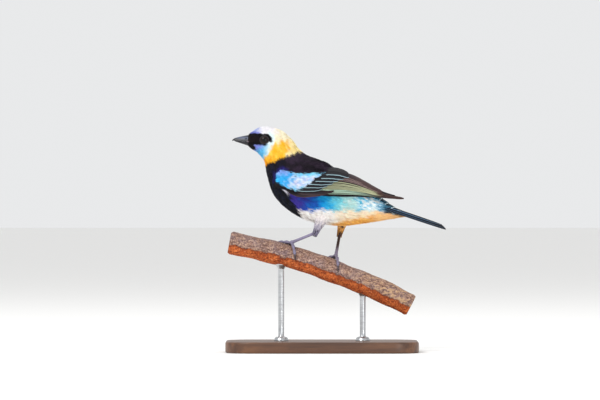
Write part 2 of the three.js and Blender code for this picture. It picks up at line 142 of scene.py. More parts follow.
# Feather keratin: interlocked barbs that scatter light softly, with a satin gleam along the vane.
def featherKeratin(name, settings, contrast, relief):
    material, tree, shader, place = newMaterial(name, {"IOR": 1.54, **settings})
    vaneMap = addNode(tree, "UVMap", {"uv_map": "vane"})
    spot = addNode(tree, "SeparateXYZ", links={0: vaneMap})
    outward = addNode(tree, "Math", {"operation": "ABSOLUTE"}, {0: spot.outputs["X"]})
    slanted = addNode(tree, "Math", {"operation": "MULTIPLY_ADD", 1: -barbs["slant"]}, {
        0: outward,
        2: spot.outputs["Y"],
    })
    turns = addNode(tree, "Math", {"operation": "MULTIPLY", 1: 2 * math.pi / barbs["spacing"]}, {0: slanted})
    waves = addNode(tree, "Math", {"operation": "SINE"}, {0: turns})
    patches = addNode(tree, "TexNoise", {"Scale": 1 / (barbs["patch"] * mm), "Detail": 3.0}, {
        "Vector": place,
    })
    pattern = addNode(tree, "Math", {"operation": "MULTIPLY_ADD", 1: 0.2}, {0: waves, 2: patches})
    dress(tree, shader, patternedTint(tree, pattern, contrast), pattern, relief)
    return material


softPlumage = featherKeratin("soft_contour_feathers", {
    "Roughness": 0.66,
    "Specular IOR Level": 0.12,
    "Sheen Weight": 0.03,
    "Sheen Roughness": 0.45,
}, contrast=0.14, relief=0.1)
silkPlumage = featherKeratin("silky_covert_feathers", {
    "Roughness": 0.55,
    "Specular IOR Level": 0.15,
    "Sheen Weight": 0.03,
    "Sheen Roughness": 0.35,
}, contrast=0.12, relief=0.1)
flightPlumage = featherKeratin("stiff_flight_feathers", {
    "Roughness": 0.5,
    "Specular IOR Level": 0.18,
}, contrast=0.05, relief=0.03)


# Meshes

def newPiece(name, slot, material, points, faces, tint=None, bake=None, vane=None, replaces=()):
    mesh = bpy.data.meshes.new(name)
    points = np.asarray(points, float).reshape(-1, 3) * mm
    faces = np.asarray(faces, np.int32)
    corners = faces.shape[1]
    mesh.vertices.add(len(points))
    mesh.vertices.foreach_set("co", points.ravel())
    mesh.loops.add(faces.size)
    mesh.loops.foreach_set("vertex_index", faces.ravel())
    mesh.polygons.add(len(faces))
    mesh.polygons.foreach_set("loop_start", np.arange(0, faces.size, corners, dtype=np.int32))
    mesh.polygons.foreach_set("use_smooth", np.ones(len(faces), bool))
    mesh.update(calc_edges=True)
    for layer, values in (("OFBake", bake), ("vane", vane)):
        if values is not None:
            uv = mesh.uv_layers.new(name=layer)
            uv.data.foreach_set("uv", np.asarray(values, float).reshape(-1, 2)[faces.ravel()].ravel())
    if tint is not None:
        tint = np.clip(np.asarray(tint, float).reshape(-1, 3), 0, 1)
        layer = mesh.color_attributes.new(name="tint", type="FLOAT_COLOR", domain="POINT")
        layer.data.foreach_set("color", np.column_stack([tint, np.ones(len(tint))]).ravel())
    mesh.validate()
    piece = bpy.data.objects.new(name, mesh)
    bpy.context.collection.objects.link(piece)
    mesh.materials.append(material)
    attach(piece, "root")
    if replaces:
        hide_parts(*replaces)
    return piece


# Quads of a grid of rows by columns; closed joins the last column to the first.
def gridFaces(rows, columns, closed=True):
    i, j = np.meshgrid(np.arange(rows - 1), np.arange(columns if closed else columns - 1), indexing="ij")
    ahead = (j + 1) % columns
    corners = [i * columns + j, (i + 1) * columns + j, (i + 1) * columns + ahead, i * columns + ahead]
    return np.stack(corners, -1).reshape(-1, 4)


def halved(quads):
    return np.vstack([quads[:, [0, 1, 2]], quads[:, [0, 2, 3]]])


# Whether a closed mesh has its faces turned inwards.
def turnedIn(points, triangles):
    a, b, c = (points[triangles[:, k]] for k in range(3))
    return np.sum(a * np.cross(b, c)) < 0


# A tube of rings place(t, angle), its ends closed by fans: points, triangles, and t and angle of each point.
def tube(place, rows, columns, capped=True):
    t, angle = np.meshgrid(np.linspace(0, 1, rows), np.arange(columns) * 2 * math.pi / columns, indexing="ij")
    points = place(t, angle).reshape(-1, 3)
    triangles = halved(gridFaces(rows, columns))
    t, angle = t.ravel(), angle.ravel()
    if capped:
        j = np.arange(columns)
        ahead = (j + 1) % columns
        last = (rows - 1) * columns
        count = rows * columns
        first = np.stack([np.full(columns, count), j, ahead], -1)
        final = np.stack([np.full(columns, count + 1), last + ahead, last + j], -1)
        triangles = np.vstack([triangles, first, final])
        points = np.vstack([points, points[:columns].mean(0), points[last:].mean(0)])
        t = np.append(t, [0, 1])
        angle = np.append(angle, [0, 0])
    if turnedIn(points, triangles):
        triangles = triangles[:, ::-1]
    return points, triangles, t, angle


# A ball's surface for tube(), with its poles along Y.
def ballAt(centre, radius):
    def place(t, angle):
        polar = 0.02 + (math.pi - 0.04) * t
        around = [np.sin(polar) * np.cos(angle), np.cos(polar), np.sin(polar) * np.sin(angle)]
        return centre + radius * np.stack(around, -1)

    return place


def joinMeshes(meshes):
    points, faces, rest = [], [], []
    count = 0
    for mesh in meshes:
        points.append(mesh[0])
        faces.append(mesh[1] + count)
        rest.append(mesh[2:])
        count += len(mesh[0])
    return np.vstack(points), np.vstack(faces), *(np.concatenate(column) for column in zip(*rest))


# A smooth line through rows of numbers, read from 0 to 1.
def smoothRows(rows, centripetal=False):
    rows = np.asarray(rows, float)
    padded = np.vstack([2 * rows[0] - rows[1], rows, 2 * rows[-1] - rows[-2]])
    steps = np.ones(len(padded) - 1)
    if centripetal:
        steps = np.linalg.norm(np.diff(padded, axis=0), axis=1) ** 0.5

    def at(t):
        place = np.asarray(t, float) * (len(rows) - 1)
        index = np.clip(np.floor(place).astype(int), 0, len(rows) - 2)
        f = (place - index)[..., None]
        p0, p1, p2, p3 = (padded[index + k] for k in range(4))
        d0, d1, d2 = (steps[index + k][..., None] for k in range(3))
        leave = ((p1 - p0) / d0 - (p2 - p0) / (d0 + d1) + (p2 - p1) / d1) * d1
        arrive = ((p2 - p1) / d1 - (p3 - p1) / (d1 + d2) + (p3 - p2) / d2) * d1
        cubic = (2 * p1 - 2 * p2 + leave + arrive) * f ** 3
        return cubic + (3 * p2 - 3 * p1 - 2 * leave - arrive) * f ** 2 + leave * f + p1

    return at


# A line read by its length, with a frame along it: angle 0 points to up, and reach is mm from the middle.
def lineTube(points, up):
    fine = smoothRows(points, centripetal=True)(np.linspace(0, 1, 400))
    walked = np.append(0, np.cumsum(np.linalg.norm(np.diff(fine, axis=0), axis=1)))
    grid = np.linspace(0, 1, 120)
    middle = np.stack([np.interp(grid, walked / walked[-1], fine[:, k]) for k in range(3)], -1)
    way = np.gradient(middle, axis=0)
    way /= np.linalg.norm(way, axis=1, keepdims=True)
    normals = [np.asarray(up, float)]
    for step in way:
        kept = normals[-1] - step * (normals[-1] @ step)
        normals.append(kept / np.linalg.norm(kept))
    normals = np.array(normals[1:])

    def place(t, angle, reach):
        t, angle, reach = np.broadcast_arrays(np.asarray(t, float), angle, reach)
        m, n, w = (
            np.stack([np.interp(t, grid, rows[:, k]) for k in range(3)], -1)
            for rows in (middle, normals, way)
        )
        across = np.cross(w, n)
        return m + (n * np.cos(angle)[..., None] + across * np.sin(angle)[..., None]) * reach[..., None]

    return place


# Soft waves of about the given length in mm, mostly between -1 and 1.
def ripple(points, length, seed):
    turns = np.random.default_rng(seed)
    total = np.zeros(points.shape[:-1])
    for _ in range(7):
        way = turns.normal(size=3)
        way *= 2 * math.pi / (length * turns.uniform(0.6, 1.6) * np.linalg.norm(way))
        total += np.sin(points @ way + turns.uniform(0, 2 * math.pi))
    return total / 3


# The body's shape, as in the solids

bodyStations = [
    # x, z, back, belly, side
    (-40.0, 113.5, 3.8, 2.2, 2.7),  # face
    (-37.3, 113.4, 6.0, 4.0, 4.9),  # lores
    (-32.9, 113.0, 9.0, 6.0, 7.1),  # eyes
    (-28.6, 111.0, 10.8, 6.9, 7.9),  # crown
    (-24.8, 107.5, 11.2, 8.0, 8.3),  # nape
    (-20.5, 102.1, 11.0, 11.6, 9.7),  # collar
    (-13.5, 94.2, 13.4, 16.0, 12.6),  # shoulders
    (-2.2, 85.9, 14.8, 16.1, 13.6),  # middle
    (12.4, 79.4, 13.4, 12.0, 11.6),  # hips
    (23.8, 76.1, 9.8, 7.0, 7.6),  # rump
    (33.5, 74.2, 6.4, 3.2, 5.0),  # vent, a little higher than in the solids, as is the next
    (43.2, 73.4, 0.6, 0.6, 1.6),  # undertail coverts, which lie against the tail
]
bodyRoundness = 0.92
spineAt = smoothRows([station[:2] for station in bodyStations], centripetal=True)
girthAt = smoothRows([station[2:] for station in bodyStations])
coatAt = smoothRows([
    # feather length, width, and depth of the coat, at the same stations
    (1.2, 0.55, 0.35), (1.4, 0.65, 0.4), (2.0, 0.85, 0.5), (2.7, 1.0, 0.6),
    (3.2, 1.15, 0.8), (3.8, 1.35, 1.0), (4.8, 1.7, 1.2), (5.5, 1.95, 1.3),
    (6.0, 2.0, 1.3), (6.2, 1.9, 1.1), (6.2, 1.7, 0.7), (5.6, 1.3, 0.3),
])
eye = {
    "x": -31.1, "z": 114.4, "out": 5.3, "radius": 2.9,
    "opening": 2.15,  # radius of the round of the eye that shows between the lids
    "lid": 0.34,  # thickness of the ring of bare skin
    "pupil": 1.2, "iris": 1.9,  # their radii
}


def rounded(value):
    return np.sign(value) * np.abs(value) ** bodyRoundness


# A point on the plumage: angle 0 is the back, a quarter turn the left side, half a turn the belly.
def bodyPoint(t, angle, grow=0.0):
    t, angle, grow = np.broadcast_arrays(np.asarray(t, float), angle, grow)
    middle = spineAt(t)
    along = spineAt(t + 0.002) - spineAt(t - 0.002)
    along /= np.linalg.norm(along, axis=-1, keepdims=True)
    back, belly, side = np.moveaxis(girthAt(t), -1, 0)
    rise, out = rounded(np.cos(angle)), rounded(np.sin(angle))
    height = rise * np.maximum(np.where(rise > 0, back, belly) + grow, 0.15)
    return np.stack([
        middle[..., 0] - along[..., 1] * height,
        -out * np.maximum(side + grow, 0.2),
        middle[..., 1] + along[..., 0] * height,
    ], -1)


# Markings of the plumage, by place in mm; both flanks carry the same

# How far a place in profile lies to the left of the line from first to second.
def leftOf(x, z, first, second):
    dx, dz = second[0] - first[0], second[1] - first[1]
    return (dx * (z - first[1]) - dz * (x - first[0])) / math.hypot(dx, dz)


# How far a place in profile lies outside a round-ended bar.
def outsideBar(x, z, first, second, radius):
    dx, dz = second[0] - first[0], second[1] - first[1]
    share = np.clip(((x - first[0]) * dx + (z - first[1]) * dz) / (dx * dx + dz * dz), 0, 1)
    return np.hypot(x - first[0] - dx * share, z - first[1] - dz * share) - radius


hood = {
    "line": ((-30.1, 101.5), (-10.4, 108.7)),  # lower edge of the gold, from throat to mantle
    "nape": (-17.8, 112.6),  # x behind which and z above which the gold turns pale
    "gold": "#F9B827", "light": "#FCD050", "orange": "#F5A818", "straw": "#FFF0D0", "yellow": "#FBD868",
    "freckle": "#8A6A4A",
    "crown": "#F4F1F6", "crownBlue": "#B8C4EE", "forehead": "#7C84D6",
    "violet": "#8892E0", "turquoise": "#68C6F2", "behindEye": "#E2F4F8",
    "mask": "#0B070C", "lores": "#1E1416",
    "maskBar": ((-39.8, 115.0), (-30.0, 114.7), 3.1),
    "chinBar": ((-40.4, 112.6), (-37.2, 110.3), 1.15),
    "cheekEdge": {101.0: -34.2, 105.5: -31.0, 109.4: -28.6, 112.8: -27.5, 116.0: -27.0},  # rear edge, x by z
}


def hoodMarkings(points):
    x, z = points[..., 0], points[..., 2]
    wave = ripple(points, 2.2, 11)
    wide = ripple(points, 6.0, 12)
    tint = blend(hood["gold"], hood["light"], 0.45 + 0.45 * wide + 0.2 * wave)
    tint = blend(tint, hood["orange"], smooth(108.5, 101.0, z + 0.22 * (x + 28) + wave))
    napeX, napeZ = hood["nape"]
    nape = np.maximum(0.9 * (x - napeX), z - napeZ + 0.15 * (x - napeX)) + 1.1 * wave + 0.8 * wide
    tint = blend(tint, hood["straw"], smooth(-1.8, 2.4, nape))
    tint = blend(tint, hood["yellow"], smooth(-18.2, -15.0, x + wave) * smooth(118.5, 115.0, z) * 0.6)
    freckles = smooth(0.7, 1.15, ripple(points, 1.2, 13)) * smooth(-1.0, 2.0, nape)
    tint = blend(tint, hood["freckle"], freckles * 0.35)
    crown = smooth(115.8, 118.2, z + 0.5 * wave) * smooth(-21.5, -27.5, x + 1.2 * wave)
    tint = blend(tint, hood["crown"], crown)
    tint = blend(tint, hood["crownBlue"], crown * smooth(-31.5, -36.5, x + wave))
    cheekX = readAt(hood["cheekEdge"], z)
    rear = x - cheekX + 0.5 * wave
    upper = 0.8 * (z - 109.2) - 0.5 * (x + 34.2) + 0.4 * wave
    face = blend(hood["turquoise"], hood["violet"], smooth(-1.4, 1.8, upper))
    face = blend(face, hood["behindEye"], smooth(-32.4, -29.4, x + 0.5 * wave) * 0.6)
    tint = blend(tint, face, smooth(0.6, -0.6, rear) * smooth(117.5, 116.5, z))
    pale = np.exp(-((rear - 0.2) / 0.8) ** 2) * smooth(117.5, 116.5, z) * smooth(103.5, 106.5, z)
    tint = blend(tint, hood["behindEye"], pale * 0.75)
    bar = outsideBar(x, z, *hood["maskBar"]) + 0.2 * wave
    tint = blend(tint, hood["behindEye"], smooth(1.9, 0.8, bar) * smooth(-29.8, -28.0, x))
    brow = smooth(1.5, 0.4, bar) * smooth(-31.5, -35.5, x) * smooth(114, 116, z)
    tint = blend(tint, hood["forehead"], brow)
    tint = blend(tint, hood["mask"], smooth(0.25, -0.25, bar))
    lores = smooth(-0.9, -1.9, bar) * smooth(-33.6, -34.6, x)
    tint = blend(tint, hood["lores"], lores * (0.6 + 0.4 * wave))
    return blend(tint, hood["mask"], smooth(0.3, -0.3, outsideBar(x, z, *hood["chinBar"]) + 0.3 * wave))


trunk = {
    "mantle": "#1A141D", "mantleGloss": "#3B2C40", "breast": "#0D0D12", "breastBlue": "#1B2038",
    "breastEdge": {70.0: -10.0, 75.3: -12.6, 80.8: -15.9, 87.0: -18.3, 92.0: -19.5},  # rear edge, x by z
    "flank": {
        # colour of the flank by x
        -16: "#3B3192", -12: "#43389E", -8: "#2A4FB4", -4: "#176CC6", 1: "#15A2E2", 4: "#3CB9E6",
        8: "#74CEDC", 13: "#A9DCDC", 17: "#C4E2DE", 20: "#4CBEDC", 22.5: "#58C4E0", 24: "#D8ECEC",
        28: "#CFE8EE", 32: "#4A98BC", 35: "#1C3242",
    },
    "flankStreak": "#E4F0F0",
    "belly": "#FFF7F2", "buff": "#FFE8CC", "vent": "#FFB444", "undertail": "#FFCC92",
    "bellyLine": {14: 76.4, 28: 76.2, 42: 73.6},  # height by x of the line between blue flank and pale belly
    "backLine": {-2.2: 92.0, 12.4: 87.5, 23.8: 84.0, 33.5: 81.5, 43.2: 77.0},  # its height by x
    "rumpBlue": "#3FB4E4", "rumpBlack": "#141620",
    "rumpWhite": "#EEF6F8", "rumpCyan": "#5CB8DC",
}


def trunkMarkings(points):
    x, y, z = points[..., 0], np.abs(points[..., 1]), points[..., 2]
    wave = ripple(points, 3.0, 21)
    wide = ripple(points, 8.0, 22)
    streak = ripple(points * [0.35, 1, 1], 1.6, 23)  # waves drawn out along the body
    back = blend(trunk["mantle"], trunk["mantleGloss"], 0.35 + 0.4 * wide + 0.25 * streak)
    rump = blend(trunk["rumpBlack"], trunk["rumpBlue"], 0.62 + 0.5 * wave)
    back = blend(back, rump, smooth(9.0, 16.0, x + 2 * wave))
    flank = gradient(trunk["flank"], x + 1.6 * wave + 1.2 * streak)
    flank = blend(flank, trunk["flankStreak"], smooth(0.35, 1.1, streak) * smooth(2, 12, x) * 0.7)
    long = ripple(points * [0.22, 1, 1], 1.5, 24)
    rear = smooth(17.0, 22.0, x + wave) * smooth(76.0, 78.0, z) * smooth(32.0, 29.0, x + wave)
    flank = blend(flank, trunk["rumpWhite"], rear * smooth(-0.3, 0.3, long))
    flank = blend(flank, trunk["rumpCyan"], rear * smooth(-0.1, -0.6, long) * 0.7)
    pale = blend(trunk["belly"], trunk["buff"], smooth(3.0, 14.0, x + wave + 2 * streak))
    low = smooth(72.8, 70.2, z + 0.6 * wave - 0.2 * (x - 16))
    pale = blend(pale, trunk["vent"], low * smooth(1.0, 7.0, x + wave) * 0.9)
    pale = blend(pale, trunk["undertail"], smooth(24.0, 32.0, x) * 0.8)
    # the pale belly runs up between the flanks
    middleOfBelly = smooth(6.5, 3.5, y) * smooth(84, 80, z) * smooth(24, 16, x)
    lineZ = readAt(trunk["bellyLine"], x)
    belly = np.maximum(smooth(0.9, -0.9, z - lineZ + 0.9 * wave + 0.5 * streak), middleOfBelly)
    under = blend(flank, pale, belly)
    backZ = readAt(trunk["backLine"], x)
    tint = blend(under, back, smooth(-0.8, 0.8, z - backZ + 0.7 * wave))
    edgeX = readAt(trunk["breastEdge"], z)
    breast = blend(trunk["breast"], trunk["breastBlue"], 0.3 + 0.5 * streak)
    breast = blend(breast, trunk["mantle"], smooth(92, 104, z) * 0.7)
    tint = blend(tint, breast, smooth(0.6, -0.6, x - edgeX + 0.6 * wave))
    outside = outsidePatch(x, z)
    flanks = smooth(4.0, 6.0, y)
    rim = smooth(2.6, 0.2, outside + 0.3 * wave) * smooth(84, 88, z) * smooth(-17.5, -20.5, x)
    tint = blend(tint, shoulder["rim"], rim * flanks)
    tint = blend(tint, shoulderMarkings(points), smooth(0.2, -0.2, outside) * flanks)
    return blend(tint, shoulder["spurWhite"], spurShare(x, z) * flanks)


def bodyMarkings(points):
    line = leftOf(points[..., 0], points[..., 2], *hood["line"]) + 0.3 * ripple(points, 2.4, 31)
    return blend(trunkMarkings(points), hoodMarkings(points), smooth(-0.35, 0.35, line))


# Small feathers: a joined mesh of tufts, each a short vane that frays into barbs at its tip

# The tuft's flat form: along 0 to 1, across -1 to 1, and how far out on a free barb each point is.
def tuftForm(count):
    along, across, tip, faces = [0.0], [0.0], [0.0], []
    edges = np.linspace(-1, 1, count + 1)
    for edge in edges:
        along.append(0.5 - 0.1 * edge ** 2)
        across.append(edge)
        tip.append(0.0)
    for k in range(count):
        middle = (edges[k] + edges[k + 1]) / 2
        first = len(along)
        for place, reach in ((-0.85, 0.55), (0.85, 0.55), (0, 1)):
            along.append(0.5 + reach * (0.5 - 0.3 * middle ** 2) - 0.1 * middle ** 2 * (1 - reach))
            across.append(middle * (1.05 - 0.2 * reach) + place * (1 - reach) * 2 / count)
            tip.append(reach)
        faces += [(0, k + 1, k + 2), (k + 1, first, first + 1), (k + 1, first + 1, k + 2)]
        faces.append((first, first + 2, first + 1))
    return [np.array(column, float) for column in (along, across, tip)] + [np.array(faces)]


tuft = {
    "uneven": 0.15,  # share by which feathers differ in length
    "turned": 0.1,  # radians that a feather is turned, by chance, as are the next five
    "fray": 0.16,  # share of the length that a barb falls short or runs on
    "raised": 0.07,  # mm that a feather stands off more or less
    "ruffled": 0.05,  # mm that a barb's tip does
    "shade": 0.07,  # share by which feathers differ in lightness
    "barbShade": 0.08,  # share by which barbs do
    "cupped": 0.16,  # how far its sides bend down, as a share of its width
    "seen": 0.72,  # share of its length at which a feather takes its colour from the markings
    "step": 0.004,  # how far along u and v the surface is measured
}


# The length, width and depth of a coat's feathers, once for each root.
def tuftSizes(coat, roots):
    return np.tile([coat["length"], coat["width"], coat["depth"]], (len(roots), 1))


# Grows a tuft at each root (u along the body, v round it) on the surface place(u, v, lift).
def growTufts(place, markings, roots, sizes, count, bakeAt, lift=0.1, dark=0.55):
    along, across, tip, form = tuftForm(count)
    u, v = roots[:, :1], roots[:, 1:2]
    length, width, depth = (sizes[:, k:k + 1] for k in range(3))
    total = len(roots)
    length = length * draws.uniform(1 - tuft["uneven"], 1 + tuft["uneven"], (total, 1))
    turn = draws.normal(0, tuft["turned"], (total, 1))
    step = tuft["step"]
    perU = np.linalg.norm(place(u + step, v, 0) - place(u - step, v, 0), axis=-1) / (2 * step) + 1e-6
    perV = np.linalg.norm(place(u, v + step, 0) - place(u, v - step, 0), axis=-1) / (2 * step) + 1e-6
    reach = along * (1 + (tip > 0) * draws.uniform(-tuft["fray"], tuft["fray"], (total, len(along))))
    fan = across * width / 2
    forward = reach * length * np.cos(turn) - fan * np.sin(turn)
    aside = reach * length * np.sin(turn) + fan * np.cos(turn)
    bow = lift + draws.normal(0, tuft["raised"], (total, 1))
    bow = bow + tip * draws.normal(0, tuft["ruffled"], (total, len(along)))
    rise = -depth + (depth + bow) * along ** 0.75 - tuft["cupped"] * across ** 2 * width
    points = place(u + forward / perU, v + aside / perV, rise)
    seen = place(u + tuft["seen"] * length / perU, v, depth * 0)[:, 0]
    tint = markings(seen)[:, None, :] * draws.normal(1, tuft["shade"], (total, 1, 1))
    # each feather is painted darker towards its root, as shade under the feathers that overlie it
    tint = tint * (dark + (1 - dark) * smooth(0.1, 0.6, along))[:, None] * (1 + 0.1 * tip)[:, None]
    tint = tint * (1 + (tip > 0) * draws.normal(0, tuft["barbShade"], (total, len(along))))[..., None]
    faces = (form[None] + np.arange(total)[:, None, None] * len(along)).reshape(-1, 3)
    a, b, c = (points.reshape(-1, 3)[faces[:, k]] for k in range(3))
    outward = (place(u, v, 1.0) - place(u, v, 0.0)).reshape(-1, 3)
    if np.sum(np.cross(b - a, c - a) * np.repeat(outward, len(form), 0)) < 0:
        faces = faces[:, ::-1]
    patch = np.stack(np.broadcast_arrays(across * 0.0015, along * 0.003), -1)
    bake = bakeAt(roots)[:, None, :] + patch[None]
    vane = np.stack([fan, reach * length], -1)
    return points.reshape(-1, 3), faces, tint.reshape(-1, 3), bake.reshape(-1, 2), vane.reshape(-1, 2)


bodyCoat = {
    "rowShare": 0.2,  # distance between rows as a share of feather length
    "sideShare": 0.42,  # distance between neighbours as a share of feather width
    "drift": (0.22, 0.18),  # how far feathers stray along and across, as shares of the distances between them
    "least": 0.12,  # share of the feathers that stays where rows crowd together
    "swell": (2.0, 0.565, 0.07),  # mm that the mantle stands off more, and where and how far along the body
    "pieces": {
        # name: from, to, barbs on a feather, painted shade at the roots, and slot in the record
        "face_feathers": (0.0, 0.235, 4, 0.7, "plumage_gold"),
        "hood_feathers": (0.235, 0.45, 5, 0.72, "plumage_gold"),
        "mantle_breast_feathers": (0.45, 0.62, 6, 0.6, "plumage_black"),
        "flank_back_feathers": (0.62, 0.76, 6, 0.72, "plumage_black"),
        "vent_rump_feathers": (0.76, 0.985, 6, 0.85, "plumage_pale"),
    },
}


def coatRoots(first, last):
    rows = []
    t = first
    around = np.linspace(0, 2 * math.pi, 73)
    along, across = bodyCoat["drift"]
    while t < last:
        length, width, depth = coatAt(t)
        ring = bodyPoint(t, around)
        pace = np.linalg.norm(bodyPoint(t + 0.002, around) - ring, axis=1) / 0.002
        usual = np.percentile(pace, 70)
        walked = np.append(0, np.cumsum(np.linalg.norm(np.diff(ring, axis=0), axis=1)))
        step = bodyCoat["rowShare"] * length / usual
        count = max(8, int(walked[-1] / (width * bodyCoat["sideShare"])))
        places = (np.arange(count) + draws.uniform(0, 1)) / count + draws.normal(0, across / count, count)
        angles = np.interp(places % 1 * walked[-1], walked, around)
        crowded = np.interp(angles, around, pace) / usual
        kept = draws.uniform(0, 1, count) < crowded + bodyCoat["least"]
        ts = t + draws.normal(0, step * along, count)
        rows.append(np.column_stack([np.clip(ts, 0, 1), angles])[kept])
        t += step
    return np.vstack(rows)


# Whether a place lies over the open eye.
def overEye(points, margin):
    away = np.hypot(points[:, 0] - eye["x"], points[:, 2] - eye["z"])
    return (away < eye["opening"] + margin) & (np.abs(points[:, 1]) > 3)


# Roots under the folded wing stay bare, as nothing shows there.
def underWing(points):
    x = points[:, 0] - wing["wristX"]
    z = points[:, 2] - wing["wristZ"]
    a = x * math.cos(wing["slope"]) + z * math.sin(wing["slope"])
    b = z * math.cos(wing["slope"]) - x * math.sin(wing["slope"])
    top, low = wingSizes(a)[2:4]
    bare = wing["bare"]
    inside = (b > low + bare["inside"]) & (b < top - bare["inside"])
    return (a > bare["from"]) & (a < bare["to"]) & inside & (np.abs(points[:, 1]) > bare["out"])


def bodyBake(roots):
    return np.column_stack([(roots[:, 1] / (2 * math.pi)) % 1 * 0.96 + 0.02, roots[:, 0] * 0.96 + 0.02])


def growBodyCoat():
    swell, middle, reach = bodyCoat["swell"]
    for name, (first, last, count, dark, slot) in bodyCoat["pieces"].items():
        roots = coatRoots(first, last)
        sizes = coatAt(roots[:, 0])
        base = bodyPoint(roots[:, 0], roots[:, 1])
        pace = np.linalg.norm(bodyPoint(roots[:, 0] + 0.002, roots[:, 1]) - base, axis=1) / 0.002
        tips = bodyPoint(roots[:, 0] + sizes[:, 0] / pace, roots[:, 1])
        half = bodyPoint(roots[:, 0] + sizes[:, 0] / pace / 2, roots[:, 1])
        bare = overEye(base, -0.15) | overEye(half, 0.1) | overEye(tips, 0.1) | underWing(base)
        roots, sizes = roots[~bare], sizes[~bare]
        onBack = np.maximum(0, np.cos(roots[:, 1:])) ** 0.7
        lift = 0.1 + swell * onBack * np.exp(-((roots[:, :1] - middle) / reach) ** 2)
        grown = growTufts(bodyPoint, bodyMarkings, roots, sizes, count, bodyBake, lift=lift, dark=dark)
        newPiece(name, slot, softPlumage, *grown)
        print(name, np.sum(~bare), "feathers,", len(grown[1]), "triangles")


# One skin under the coat, from the face to the undertail, with both thighs

legs = {
    "left": {
        "thighTop": (1.4, -6.2, 76.0), "heel": (-3.5, -8.6, 64.4), "thigh": (3.9, 3.4, 2.4, 1.5),
        "along": -19.6, "round": 9, "lift": 0.5,
        "toes": {
            # along and round of the toe, then of its claw
            "hind": (3.4, 66, 1.4, 28), "outer": (-7.0, -46, -1.5, -24),
            "middle": (-5.6, -86, -0.6, -28), "inner": (-1.2, -80, 0.3, -26),
        },
    },
    "right": {
        "thighTop": (12.4, 7.2, 75.5), "heel": (9.7, 10.2, 63.8), "thigh": (3.6, 2.9, 2.1, 1.4),
        "along": 4.6, "round": -12, "lift": 1.1,
        "toes": {
            "hind": (3.0, 74, 1.2, 28), "inner": (-6.2, -38, -1.5, -24),
            "middle": (-6.0, -80, -0.6, -28), "outer": (-1.6, -80, 0.3, -28),
        },
    },
}
thighCoat = {
    "left": {0: "#FAF2EC", 0.5: "#EEE6E6", 0.75: "#BDB6C4", 1: "#8A849C"},  # colour by share of its length
    "right": {0: "#FBDCB8", 0.45: "#F6D09C", 0.8: "#EAAA58", 1: "#B5803E"},
    "bars": "#2E2A34", "length": 2.6, "width": 1.0, "depth": 0.45,
    "past": 1.15,  # how far the feathers may hang over the heel, by the thigh's length
    "bakeCorner": {"left": 0.0, "right": 0.985},  # where each thigh's patch lies beside the body's unwrap
}


def thighTube(name):
    leg = legs[name]
    top, heel = np.array(leg["thighTop"]), np.array(leg["heel"])
    past = thighCoat["past"]
    line = lineTube([top + (heel - top) * share for share in (0, 0.4, 0.8, past)], (0, -1, 0))
    sizes = smoothRows([[radius] for radius in leg["thigh"]])
    return lambda t, angle, grow=0.0: line(t / past, angle, sizes(np.clip(t, 0, 1))[..., 0] + grow)


def thighMarkings(name):
    top, heel = np.array(legs[name]["thighTop"]), np.array(legs[name]["heel"])
    way = (heel - top) / np.dot(heel - top, heel - top)

    def tint(points):
        share = (points - top) @ way + 0.1 * ripple(points, 1.8, 41)
        bars = smooth(0.3, 0.75, ripple(points * [1, 1, 0.4], 1.5, 42)) * smooth(0.45, 0.7, share)
        return blend(gradient(thighCoat[name], share), thighCoat["bars"], bars)

    return tint


def thighBake(name):
    return lambda roots: np.column_stack([
        thighCoat["bakeCorner"][name] + (roots[:, 1] % (2 * math.pi)) * 0.002,
        roots[:, 0] * 0.02,
    ])


def makeSkin():
    points, faces, t, angle = tube(lambda t, angle: bodyPoint(t, angle, -coatAt(t)[..., 2]), 220, 120)
    bake = bodyBake(np.column_stack([t, angle]))
    # the skin carries the markings painted 40 % darker, as shade under the coat
    parts = [(points, faces, bodyMarkings(points) * 0.6, bake, np.column_stack([angle * 9, t * 110]))]
    for name in sides:
        place = thighTube(name)
        points, faces, t, angle = tube(lambda t, angle: place(t, angle, -thighCoat["depth"]), 24, 32)
        bake = thighBake(name)(np.column_stack([t, angle]))
        vane = np.column_stack([angle * 3, t * 12])
        # the thighs' skin carries their markings painted 30 % darker, as shade under the coat
        parts.append((points, faces, thighMarkings(name)(points) * 0.7, bake, vane))
    replaced = ("head", "neck", "torso", "thigh_left", "thigh_right")
    newPiece("body_skin", "plumage_black", softPlumage, *joinMeshes(parts), replaces=replaced)


def growThighCoat():
    grown = []
    for name in sides:
        roots = []
        for t in np.arange(0.0, 0.98, 0.055):
            radius = np.interp(t, [0, 0.33, 0.67, 1], legs[name]["thigh"])
            count = max(6, int(2 * math.pi * radius / 0.62))
            turns = (np.arange(count) + draws.uniform()) * 2 * math.pi / count
            roots.append(np.column_stack([t + draws.normal(0, 0.012, count), turns]))
        roots = np.vstack(roots)
        size = tuftSizes(thighCoat, roots)
        size[:, 0] *= 1 - 0.45 * roots[:, 0]  # shorter towards the heel
        place, markings, bakeAt = thighTube(name), thighMarkings(name), thighBake(name)
        grown.append(growTufts(place, markings, roots, size, 5, bakeAt, lift=0.15))
    newPiece("thigh_feathers", "plumage_pale", softPlumage, *joinMeshes(grown))


# Wings: a thin arm and blade, rows of flight feathers and coverts, and small feathers on the shoulder

